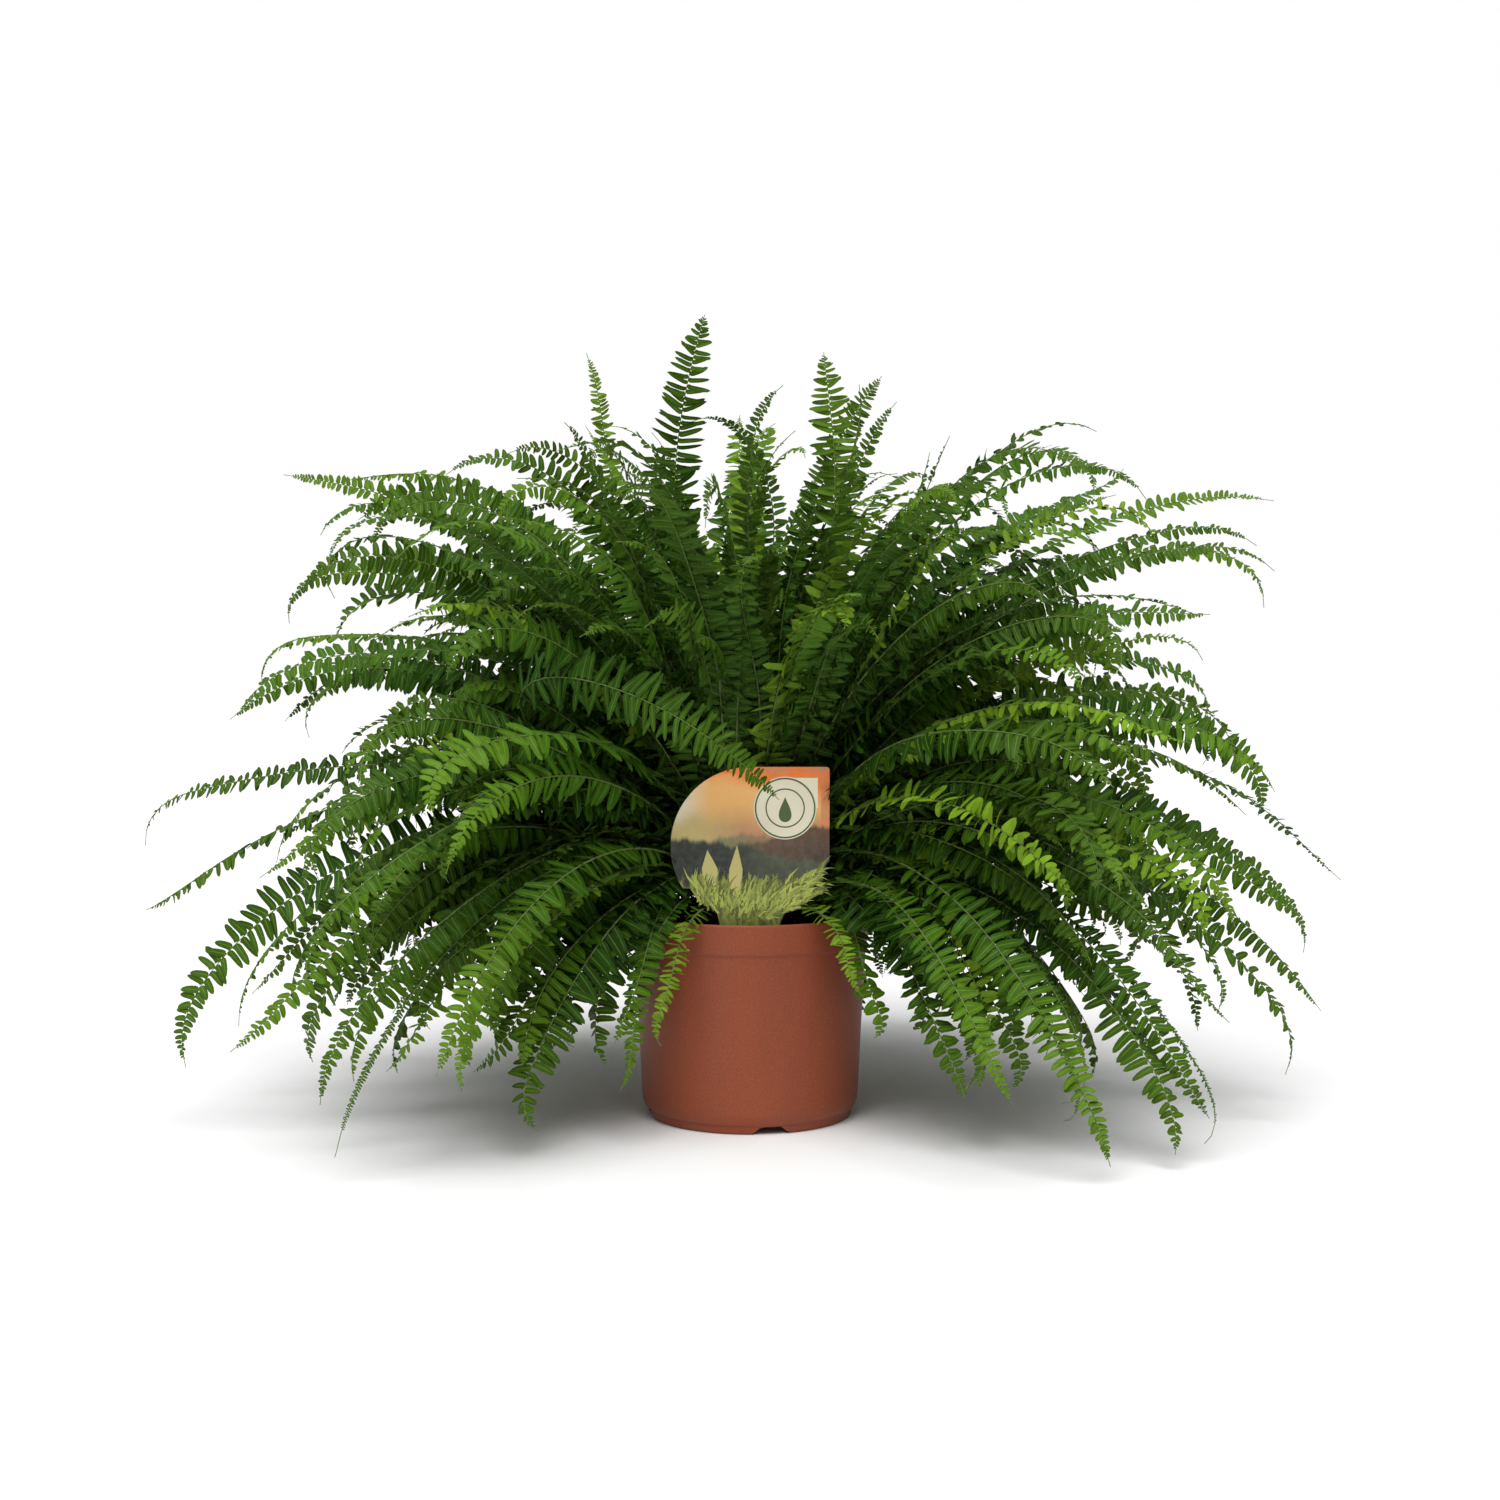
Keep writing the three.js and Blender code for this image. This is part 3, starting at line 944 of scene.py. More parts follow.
def lay_frond_map(mesh):
    """Gives every leaflet its own cell on the piece's map, and every midrib a strip."""
    corners = len(mesh.loops)
    vertex = np.zeros(corners, np.int32)
    mesh.loops.foreach_get("vertex_index", vertex)
    counts = np.zeros(len(mesh.polygons), np.int32)
    mesh.polygons.foreach_get("loop_total", counts)
    face = np.repeat(np.arange(len(counts)), counts)
    woody = numbers_of(mesh, "woody")[face] > 0.5
    under = numbers_of(mesh, "underside")[face] > 0.5
    blade = numbers_of(mesh, "blade_at", 3)[vertex]
    leaflet = numbers_of(mesh, "leaflet")[vertex]
    frond = numbers_of(mesh, "frond")[vertex]
    share = numbers_of(mesh, "share")[vertex]
    turn = numbers_of(mesh, "turn")[vertex]

    fronds = int(frond.max()) + 1
    strip = min(0.025 * fronds, 0.12)
    names, cell = np.unique(leaflet[~woody], return_inverse=True)
    cells = 2 * len(names)
    cell_width = math.sqrt((1 - strip) / (MAP_CELL_HEIGHT * cells))
    columns = max(1, int(1 / cell_width))
    rows = math.ceil(cells / columns)
    place = np.zeros((corners, 2))
    number = 2 * cell + under[~woody]
    margin = MAP_MARGIN
    inside = 0.5 + 0.5 * blade[~woody, 0] * (1 - margin)
    place[~woody, 0] = (number % columns + inside) / columns
    height = (1 - strip) / rows
    inner = margin / 2 + (1 - margin) * blade[~woody, 1]
    place[~woody, 1] = strip + (number // columns + inner) * height

    starts = np.concatenate([[0], np.cumsum(counts)[:-1]])
    highest = np.maximum.reduceat(turn, starts)[face]
    turn = np.where((highest > 0.7) & (turn < 0.3), turn + 1, turn)
    place[woody, 0] = 0.01 + 0.98 * share[woody]
    place[woody, 1] = (frond[woody] + 0.1 + 0.7 * turn[woody]) * strip / fronds
    layer = mesh.uv_layers.new(name="OFBake")
    layer.uv.foreach_set("vector", place.astype(np.float32).ravel())


# What the leaflets needed while they grew, and no finish reads.
SPARE_ATTRIBUTES = (
    "across", "half", "stem", "lift", "twist", "frond", "leaflet", "turn", "fineness"
)

# Young fronds are more crumpled than the others.
YOUNG_UNEVENNESS = 1.6


def grow_fronds(name, ribs, age, kit, place):
    """Grows one piece from midribs of one age. place says which leaflets: outer or inner."""
    settings = bpy.context.scene.fern_fronds
    piece = new_piece(name, midrib_mesh(name, ribs, settings))
    run_tree(
        piece,
        kit["tree"],
        {
            "Right leaflets": kit[place][0],
            "Left leaflets": kit[place][1],
            "Leaflet width": settings.leaflet_width,
            "Widening": settings.widening,
            "Lean base": settings.lean_base,
            "Lean tip": settings.lean_tip,
            "Unevenness": settings.unevenness * (YOUNG_UNEVENNESS if age == "young" else 1.0),
            "Seed": settings.seed + sum(map(ord, name)),
            "Leaf": kit["leaf"][age],
            "Stem": kit["stem"],
        },
    )
    lay_frond_map(piece.data)
    for spare in SPARE_ATTRIBUTES:
        found = piece.data.attributes.get(spare)
        if found:
            piece.data.attributes.remove(found)
    return piece


# ---- finishes -------------------------------------------------------------------------------


def leaf_material(name, tint, tip_tint, tip_share):
    """A leaf's finish: midvein, side veins, mottling, a paler underside, lighter tips, and painted shade
    on the fronds that hang low.
    """
    material, tree, shader, place = shader_of(name)
    blade = add(
        tree, "ShaderNodeSeparateXYZ", {"Vector": attribute(tree, "blade_at", "Vector")}
    ).outputs
    sideways = calc(tree, "ABSOLUTE", blade["X"])
    tone = attribute(tree, "tone")
    hue = attribute(tree, "hue")
    share = attribute(tree, "share")
    under = attribute(tree, "underside")

    # Each frond's tone mixes a random tone with painted shade on the fronds that hang low.
    tone_and_shade = calc(tree, "ADD", calc(tree, "MULTIPLY", tone, 0.4), calc(tree, "MULTIPLY", hue, 0.6))
    green = blend(tree, tone_and_shade, shade(tint, 0.48), shade(tint, 1.62))
    old = remap(tree, share, 0.1, 0.6, 0.5, 0.0)
    green = blend(tree, old, green, blend(tree, 1.0, green, (0.35, 0.42, 0.40), "MULTIPLY"))
    tip = calc(tree, "MULTIPLY", remap(tree, share, 0.5, 1.0), tip_share)
    green = blend(tree, tip, green, tip_tint)
    mottle = noise_field(tree, place, 150.0, 4.0)
    green = blend(
        tree,
        remap(tree, mottle, 0.35, 0.7, 0.0, 0.45),
        green,
        blend(tree, 1.0, green, (0.55, 0.62, 0.5), "MULTIPLY"),
    )
    veins = calc(tree, "MULTIPLY_ADD", sideways, -0.22, blade["Y"])
    veins = calc(tree, "SINE", calc(tree, "MULTIPLY", veins, 95.0))
    green = blend(tree, remap(tree, veins, 0.3, 1.0, 0.0, 0.13), green, tip_tint)
    mid = remap(tree, sideways, 0.03, 0.15, 1.0, 0.0)
    mid = calc(tree, "MULTIPLY", mid, remap(tree, blade["Y"], 0.55, 1.0, 0.55, 0.1))
    green = blend(tree, mid, green, shade(tip_tint, 1.15))
    pale = blend(tree, 0.5, green, (0.11, 0.19, 0.04))
    green = blend(tree, calc(tree, "MULTIPLY", under, 0.5), green, pale)
    rough = remap(tree, mottle, 0.3, 0.7, 0.44, 0.60)
    rough = calc(tree, "MULTIPLY_ADD", under, 0.16, rough)
    height = calc(tree, "MULTIPLY_ADD", veins, 0.3, calc(tree, "MULTIPLY", mid, -1.4))
    height = calc(tree, "MULTIPLY_ADD", mottle, 0.8, height)
    connect(
        tree, shader, Base_Color=green, Roughness=rough, Normal=bump(tree, height, 0.00012, 0.6)
    )
    shader.inputs["Specular IOR Level"].default_value = 0.22
    shader.inputs["Specular Tint"].default_value = (0.72, 1.0, 0.5, 1.0)
    return material


def stem_material():
    """The midribs' finish: straw green, browner and hairier next to the crown."""
    material, tree, shader, place = shader_of("fern_stem")
    share = attribute(tree, "share")
    fibre = noise_field(tree, place, 420.0, 3.0)
    base = blend(tree, remap(tree, share, 0.02, 0.22), (0.050, 0.040, 0.014), (0.110, 0.160, 0.034))
    base = blend(tree, remap(tree, share, 0.5, 1.0), base, (0.13, 0.21, 0.03))
    darker = blend(tree, 1.0, base, (0.6,) * 3, "MULTIPLY")
    base = blend(tree, remap(tree, fibre, 0.4, 0.7, 0.0, 0.5), base, darker)
    connect(
        tree,
        shader,
        Base_Color=base,
        Roughness=remap(tree, fibre, 0.3, 0.7, 0.5, 0.7),
        Normal=bump(tree, fibre, 0.0003, 0.5),
    )
    return material


# What the fronds of both kinds are grown from, made once: the tree, the leaflets, the finishes.
FROND_KIT = {}


def frond_kit():
    """The tree, leaflets and finishes that every frond is grown from, made on first use."""
    if not FROND_KIT:
        settings = bpy.context.scene.fern_fronds
        young = tuple(settings.young_colour)
        FROND_KIT.update(
            tree=frond_tree(),
            outer=leaflet_collections("outer", LEAFLET_OUTLINE),
            inner=leaflet_collections("inner", PLAIN_OUTLINE),
            stem=stem_material(),
            leaf={
                "mature": leaf_material("leaf_mature", tuple(settings.mature_colour), young, 0.30),
                "mid": leaf_material("leaf_mid", tuple(settings.mid_colour), young, 0.55),
                "young": leaf_material("leaf_young", young, shade(young, 1.25), 0.5),
            },
        )
    return FROND_KIT


def drop_frond_kit():
    """Clears away the loose leaflets, once every frond is grown."""
    clear_shelves(*FROND_KIT["outer"], *FROND_KIT["inner"])
    FROND_KIT.clear()


def pot_material():
    """Moulded plastic: fine grain, faint flow marks, a painted highlight along the lip and dust at the
    foot.
    """
    settings = bpy.context.scene.fern_pot
    tint = tuple(settings.body_colour)
    material, tree, shader, place = shader_of("terracotta_plastic")
    grain = noise_field(tree, place, 900.0, 2.0)
    flow = add(
        tree, "ShaderNodeMapping", {"Vector": place, "Scale": (1.0, 1.0, 0.25)}
    ).outputs["Vector"]
    cloud = noise_field(tree, flow, 14.0, 4.0)
    rosy = tuple(a * b for a, b in zip(tint, (0.96, 1.16, 1.4)))
    warm = tuple(a * b for a, b in zip(tint, (1.06, 0.94, 0.7)))
    drift = noise_field(tree, flow, 5.0, 2.0)
    base = blend(tree, remap(tree, drift, 0.38, 0.62), rosy, warm)
    base = blend(tree, remap(tree, cloud, 0.35, 0.7, 0.0, 0.5), base, shade(tint, 0.80))
    base = blend(tree, remap(tree, grain, 0.50, 0.72, 0.0, 0.45), base, shade(tint, 1.45))
    base = blend(tree, remap(tree, grain, 0.50, 0.30, 0.0, 0.45), base, shade(tint, 0.62))
    height = add(tree, "ShaderNodeSeparateXYZ", {"Vector": place}).outputs["Z"]
    # Painted highlight: the top 3 mm of the rim is painted paler, where the light from above falls on the
    # lip.
    lip_highlight = remap(tree, height, POT_TOP - 0.003, POT_TOP, 0.0, 0.35)
    base = blend(tree, lip_highlight, base, shade(tint, 1.35))
    dust = calc(tree, "MULTIPLY", remap(tree, height, 0.03, 0.0), remap(tree, cloud, 0.4, 0.7))
    base = blend(tree, calc(tree, "MULTIPLY", dust, 0.35), base, (0.16, 0.10, 0.07))
    rough = remap(tree, cloud, 0.3, 0.7, 0.40, 0.52)
    rough = calc(tree, "MULTIPLY_ADD", grain, 0.08, rough)
    connect(
        tree,
        shader,
        Base_Color=base,
        Roughness=rough,
        Normal=bump(tree, grain, 0.0004, settings.grain),
    )
    shader.inputs["Specular IOR Level"].default_value = 0.28
    return material


def soil_material(name, dark, light, coarse):
    """Damp crumbly compost, or one of its crumbs."""
    material, tree, shader, place = shader_of(name)
    crumbs = noise_field(tree, place, coarse, 6.0, 0.7)
    fine = noise_field(tree, place, coarse * 6, 3.0, 0.7)
    base = blend(tree, remap(tree, crumbs, 0.35, 0.7), dark, light)
    base = blend(tree, remap(tree, fine, 0.5, 0.8, 0.0, 0.5), base, shade(light, 1.6))
    height = calc(tree, "MULTIPLY_ADD", fine, 0.4, crumbs)
    connect(
        tree,
        shader,
        Base_Color=base,
        Roughness=remap(tree, fine, 0.3, 0.7, 0.82, 0.97),
        Normal=bump(tree, height, 0.0015, 0.8),
    )
    return material


# ---- pot ------------------------------------------------------------------------------------

# Outline of the pot in millimetres, from the middle of its underside round to its inside floor.
POT_OUTLINE = [
    (0, 0), (15, 0), (29, 0), (30, 0.4), (33.4, 5.6), (34.2, 6), (60, 6), (84.6, 6), (85.4, 5.4),
    (86.6, 0.8), (87.4, 0), (89.4, 0), (90.0, 0.5), (90.2, 3.4), (90.45, 6.4), (90.9, 7.0),
    (91.9, 7.4), (93.1, 8.5), (94.2, 10.4), (95.0, 13.0), (95.6, 16.0), (95.95, 20.0), (96.5, 30.0),
    (98.3, 70.0), (100.6, 110.0), (102.9, 150.0), (103.1, 152.3), (103.5, 153.3), (104.3, 154.0),
    (104.5, 155.4), (104.7, 162.0), (104.95, 175.0), (104.95, 178.2), (104.6, 179.3), (103.9, 179.9),
    (103.2, 179.9), (102.6, 179.2), (102.5, 176.0), (101.6, 152.0), (97.7, 85.0), (94.2, 20.0),
    (93.4, 14.5), (91.6, 10.6), (88.6, 8.9), (60, 8.8), (0, 8.8),
]
NOTCHES = 4
NOTCH_FIRST = -78.5
NOTCH_HALF = 0.016
NOTCH_HALF_TOP = 0.0085
NOTCH_RISE = 0.0058
FOOT_INNER = 0.0862
FOOT_MIDDLE = 0.089
FOOT_OUTER = 0.0907
DRAINS = 8
DRAIN_CIRCLE = 0.062
DRAIN_RADIUS = 0.005
SHARPEST_SMOOTH = math.radians(50)


def notch_height(a):
    """How high the foot ring is cut away at this angle round the pot."""
    step = 2 * math.pi / NOTCHES
    off = (a - math.radians(NOTCH_FIRST) + step / 2) % step - step / 2
    wide = abs(off) * FOOT_MIDDLE
    share = (NOTCH_HALF - wide) / (NOTCH_HALF - NOTCH_HALF_TOP)
    return NOTCH_RISE * min(1.0, max(0.0, share))


def cut_notch(spot, a):
    """Lifts a point of the foot ring to the notch's roof where there is one."""
    x, y, z = spot
    if FOOT_INNER < math.hypot(x, y) < FOOT_OUTER and z < NOTCH_RISE:
        z = max(z, notch_height(a))
    return (x, y, z)


class FERN_OT_pot(bpy.types.Operator):
    """Make the pot, with its rim band, foot notches and drainage holes"""

    bl_idname = "fern.make_pot"
    bl_label = "Pot"

    def execute(self, context):
        settings = context.scene.fern_pot
        outline = [(r / 1000, z / 1000) for r, z in POT_OUTLINE]
        pot = new_piece("nursery_pot", turned_mesh("nursery_pot", outline, settings.sides, cut_notch))
        bm = bmesh.new()
        for i in range(DRAINS):
            a = 2 * math.pi * (i + 0.5) / DRAINS
            ring = bmesh.ops.create_cone(
                bm, cap_ends=True, segments=20, radius1=DRAIN_RADIUS, radius2=DRAIN_RADIUS, depth=0.02
            )["verts"]
            spot = Vector((math.cos(a) * DRAIN_CIRCLE, math.sin(a) * DRAIN_CIRCLE, 0.0075))
            bmesh.ops.translate(bm, verts=ring, vec=spot)
        pins = bpy.data.meshes.new("drain_pins")
        bm.to_mesh(pins)
        bm.free()
        cutter = new_piece("drain_pins", pins)
        cut = pot.modifiers.new("Drains", "BOOLEAN")
        cut.operation = "DIFFERENCE"
        cut.solver = "EXACT"
        cut.object = cutter
        bake_modifiers(pot)
        bpy.data.objects.remove(cutter)
        bpy.data.meshes.remove(pins)
        pot.data.materials.clear()
        pot.data.materials.append(pot_material())
        pot.data.set_sharp_from_angle(angle=SHARPEST_SMOOTH)
        hold(pot, "pot_plastic", "pot")
        return {"FINISHED"}


# ---- soil and crown -------------------------------------------------------------------------

CRUMB_KINDS = 4
LARGEST_CRUMB = 2.4  # times the usual one
SCALES = 120000.0  # for each square metre of the crown
LONGEST_SCALE = 0.011

def crumb_mesh(name, seed):
    """One rough crumb, a unit across."""
    bm = bmesh.new()
    bmesh.ops.create_icosphere(bm, subdivisions=1, radius=0.5)
    for v in bm.verts:
        v.co *= 0.75 + 0.5 * noise.noise(v.co * 3 + Vector((seed, 0, 0)))
    mesh = bpy.data.meshes.new(name)
    bm.to_mesh(mesh)
    bm.free()
    return mesh


def scale_mesh(name):
    """One papery scale of the crown: a closed narrow blade a unit long, curling off its base."""
    points = [(0, 0, 0), (0.3, 0.12, 0.05), (0.3, -0.12, 0.05), (0.3, 0, 0.10), (0.65, 0.08, 0.16)]
    points += [(0.65, -0.08, 0.16), (0.65, 0, 0.20), (1, 0, 0.42)]
    faces = [(0, 3, 1), (0, 2, 3), (0, 1, 2), (1, 3, 6, 4), (3, 2, 5, 6), (1, 4, 5, 2)]
    faces += [(4, 6, 7), (6, 5, 7), (4, 7, 5)]
    return mesh_of(name, points, [tuple(reversed(f)) for f in faces])


def scatter_tree(name):
    """Scatters small pieces over the faces marked as bed, and keeps the bed under them."""
    tree, given, end = new_tree(
        name,
        {
            "Pieces": "Collection",
            "Density": "Float",
            "Size": "Float",
            "Least size": "Float",
            "Tilt": "Float",
            "Seed": "Int",
            "Finish": "Material",
            "Bed finish": "Material",
        },
    )
    spread = add(
        tree,
        "GeometryNodeDistributePointsOnFaces",
        {
            "Mesh": given["Geometry"],
            "Selection": calc(tree, "GREATER_THAN", named(tree, "bed"), 0.5),
            "Density": given["Density"],
            "Seed": given["Seed"],
        },
    )
    seed = given["Seed"]
    points = keep(tree, spread.outputs["Points"], "tone", chance(tree, 0.0, 1.0, seed, 1))
    down = add(tree, "ShaderNodeCombineXYZ", {"Z": -1.0}).outputs["Vector"]
    stand = add(
        tree,
        "FunctionNodeAxesToRotation",
        {"Primary Axis": spread.outputs["Normal"], "Secondary Axis": down},
        primary_axis="Z",
        secondary_axis="X",
    ).outputs["Rotation"]
    uneven = vector_calc(
        tree, "SCALE", chance(tree, -1.0, 1.0, seed, 2, "FLOAT_VECTOR"), given["Tilt"]
    )
    turn = add(tree, "FunctionNodeEulerToRotation", {"Euler": uneven}).outputs["Rotation"]
    facing = add(
        tree,
        "FunctionNodeRotateRotation",
        {"Rotation": stand, "Rotate By": turn},
        rotation_space="LOCAL",
    ).outputs["Rotation"]
    big = calc(tree, "POWER", chance(tree, 0.0, 1.0, seed, 3), 3.0)
    least = given["Least size"]
    share = calc(tree, "MULTIPLY_ADD", big, calc(tree, "SUBTRACT", 1.0, least), least)
    shelf = add(
        tree,
        "GeometryNodeCollectionInfo",
        {"Collection": given["Pieces"], "Separate Children": True, "Reset Children": True},
    ).outputs["Instances"]
    placed = add(
        tree,
        "GeometryNodeInstanceOnPoints",
        {
            "Points": points,
            "Instance": shelf,
            "Pick Instance": True,
            "Instance Index": chance(tree, 0, CRUMB_KINDS - 1, seed, 4, "INT"),
            "Rotation": facing,
            "Scale": calc(tree, "MULTIPLY", share, given["Size"]),
        },
    ).outputs["Instances"]
    joined = add(tree, "GeometryNodeJoinGeometry")
    tree.links.new(given["Geometry"], joined.inputs[0])
    tree.links.new(keep(tree, placed, "piece", 1.0, domain="INSTANCE"), joined.inputs[0])
    result = add(
        tree, "GeometryNodeRealizeInstances", {"Geometry": joined.outputs[0]}
    ).outputs["Geometry"]
    piece = calc(tree, "GREATER_THAN", named(tree, "piece"), 0.5)
    bed = calc(tree, "SUBTRACT", 1.0, piece)
    for selection, material in ((piece, given["Finish"]), (bed, given["Bed finish"])):
        result = add(
            tree,
            "GeometryNodeSetMaterial",
            {"Geometry": result, "Selection": selection, "Material": material},
        ).outputs["Geometry"]
    tree.links.new(result, end)
    return tree


def mark_bed(mesh, keeps):
    """Marks the faces that small pieces may be scattered on."""
    marks = [1.0 if keeps(p.center, p.normal) else 0.0 for p in mesh.polygons]
    mesh.attributes.new("bed", "FLOAT", "FACE").data.foreach_set("value", marks)


class FERN_OT_soil(bpy.types.Operator):
    """Make the compost in the pot, with its crumbs"""

    bl_idname = "fern.make_soil"
    bl_label = "Soil"

    def execute(self, context):
        settings = context.scene.fern_soil
        level = SOIL_HIGH.z
        rim = SOIL_HIGH.x
        rings = 34
        profile = [(0, SOIL_LOW.z), (0.085, SOIL_LOW.z), (0.0925, 0.022), (rim - 0.001, level - 0.016)]
        for i in range(rings + 1):
            radius = rim * (1 - i / rings)
            mound = 0.004 * (1 - smoothstep(np.float64(radius), 0.058, rim))
            profile.append((max(radius, 0.0), level - 0.0045 + mound))

        def crumble(spot, _):
            x, y, z = spot
            if z < level - 0.012:
                return spot
            rough = noise.noise(Vector((x * 70, y * 70, 1.7))) * 0.0016
            rough += noise.noise(Vector((x * 260, y * 260, 4.1))) * 0.0010
            return (x, y, z + rough)

        soil = new_piece("compost", turned_mesh("compost", profile, 120, crumble))
        mark_bed(soil.data, lambda centre, normal: normal.z > 0.3 and centre.z > level - 0.012)
        kinds = [crumb_mesh(f"crumb_{i}", i * 5.3) for i in range(CRUMB_KINDS)]
        crumbs = shelf_of("crumbs", kinds)
        dark = tuple(settings.soil_colour)
        run_tree(
            soil,
            scatter_tree("compost_crumbs"),
            {
                "Pieces": crumbs,
                "Density": settings.crumbs,
                "Size": settings.crumb_size * LARGEST_CRUMB,
                "Least size": 0.3,
                "Tilt": 3.0,
                "Seed": 11,
                "Finish": soil_material("compost_crumb", shade(dark, 1.2), shade(dark, 3.4), 160.0),
                "Bed finish": soil_material("compost_bed", shade(dark, 0.6), shade(dark, 2.0), 120.0),
            },
        )
        clear_shelves(crumbs)
        hold(soil, "potting_soil", "potting_soil")
        return {"FINISHED"}


class FERN_OT_crown(bpy.types.Operator):
    """Make the scaly crown that the fronds rise from"""

    bl_idname = "fern.make_crown"
    bl_label = "Crown"

    def execute(self, context):
        settings = context.scene.fern_soil
        tint = tuple(settings.scale_colour)
        steps = 16
        profile = [(0, CROWN_LOW.z), (CROWN_RADIUS - 0.003, CROWN_LOW.z)]
        for i in range(steps + 1):
            share = math.pi / 2 * i / steps
            rise = CROWN_RISE * math.sin(share)
            profile.append((CROWN_RADIUS * math.cos(share) - 0.001, CROWN_LOW.z + 0.001 + rise * 0.96))
        profile[-1] = (0.0, profile[-1][1])

        def knobbly(spot, _):
            x, y, z = spot
            if z < CROWN_LOW.z + 0.001:
                return spot
            swell = 1 - 0.035 * (1 + noise.noise(Vector((x * 90, y * 90, z * 90))))
            return (x * swell, y * swell, CROWN_LOW.z + (z - CROWN_LOW.z) * swell)

        crown = new_piece("rootstock", turned_mesh("rootstock", profile, 64, knobbly))
        mark_bed(crown.data, lambda centre, normal: centre.z > CROWN_LOW.z + 0.002)
        scales = shelf_of("scales", [scale_mesh("scale_0")])
        run_tree(
            crown,
            scatter_tree("crown_scales"),
            {
                "Pieces": scales,
                "Density": SCALES,
                "Size": LONGEST_SCALE,
                "Least size": 0.45,
                "Tilt": 0.45,
                "Seed": 5,
                "Finish": soil_material("crown_scale", shade(tint, 0.6), shade(tint, 1.7), 240.0),
                "Bed finish": soil_material("crown_bed", shade(tint, 0.25), shade(tint, 0.7), 160.0),
            },
        )
        clear_shelves(scales)
        hold(crown, "rhizome", "crown")
        return {"FINISHED"}


# ---- label ----------------------------------------------------------------------------------

LABEL_THICK = 0.001
BADGE_X = 0.0296
BADGE_Z = 0.0323
BADGE_RADIUS = 0.0265
BADGE_RINGS = ((0.0256, 0.0243), (0.0166, 0.0155))
DROP_SIZE = 0.0108
PRINT_SKIN = 0.00012
GRASS_BLADES = 300


def label_outline():
    """The label's outline as (x, height) points, round from its square corner."""
    r = LABEL_RADIUS
    cz = LABEL_MIDDLE
    corner = 0.0025
    points = [(r, cz + r - corner)]
    points += [(r - corner * (1 - math.cos(a)), cz + r - corner * (1 - math.sin(a))) for a in (0.5, 1.0)]
    points += [(r - corner, cz + r)]
    for i in range(45):
        a = math.radians(between(90, 212, i / 44))
        points.append((r * math.cos(a), cz + r * math.sin(a)))
    for x, z in ((-48, -36), (-45, -44), (-37, -45), (-33, -52), (-29, -52)):
        points.append((x / 1000, cz + z / 1000))
    neck = 0.026
    points += [(-neck, POT_TOP + 0.001), (-neck * 0.8, 0.155), (-0.004, LABEL_LOW.z)]
    points += [(0.004, LABEL_LOW.z), (neck * 0.8, 0.155), (neck, POT_TOP + 0.001)]
    right = ((29, -57), (37, -54), (41, -45), (47, -43), (54, -32), (60, -26), (64, -16), (67, -12))
    for x, z in right:
        points.append((x / 1000, cz + z / 1000))
    return points


def add_flat(bm, outline, front, back, slot, hole=None):
    """Adds a closed flat piece, standing on its edge, to a mesh. hole is an outline inside it."""
    rings = [outline] if hole is None else [outline, hole]
    sides = []
    for ring in rings:
        sides.append([[bm.verts.new((x, y, z)) for x, z in ring] for y in (front, back)])
    made = []
    if hole is None:
        made.append(bm.faces.new(sides[0][0]))
        made.append(bm.faces.new(list(reversed(sides[0][1]))))
    else:
        for layer in (0, 1):
            outer, inner = sides[0][layer], sides[1][layer]
            for i in range(len(outer)):
                j = (i + 1) % len(outer)
                face = (outer[i], outer[j], inner[j], inner[i])
                made.append(bm.faces.new(face if layer == 0 else tuple(reversed(face))))
    for place, (near, far) in enumerate(sides):
        for i in range(len(near)):
            j = (i + 1) % len(near)
            face = (near[i], far[i], far[j], near[j])
            made.append(bm.faces.new(face if place == 0 else tuple(reversed(face))))
    for face in made:
        face.material_index = slot
    return made


def circle(x, z, radius, count=72):
    steps = [2 * math.pi * i / count for i in range(count)]
    return [(x + radius * math.cos(a), z + radius * math.sin(a)) for a in steps]


def drop_outline(x, z, size, count=40):
    """A water drop: round below and drawn to a point above."""
    points = []
    for i in range(count):
        a = 2 * math.pi * i / count
        pinch = math.sin(a / 2) ** 1.6
        across = size * math.sin(a) * pinch * 0.72
        points.append((x + across, z + size * math.cos(a) - size * 0.1))
    return list(reversed(points))


# Right half of a printed leaf's outline, a unit wide and a unit tall.
PRINTED_LEAF = [(0.07, 0.0), (0.30, 0.14), (0.46, 0.36), (0.47, 0.52), (0.26, 0.74), (0.0, 1.0)]


def printed_leaf(x, z, wide, tall, lean):
    """A broad pointed leaf that stands on (x, z) and leans to the right by this much."""
    left = [(-across, up) for across, up in reversed(PRINTED_LEAF[:-1])]
    return [
        (x + wide * across + lean * tall * up, z + tall * up)
        for across, up in PRINTED_LEAF + left
    ]


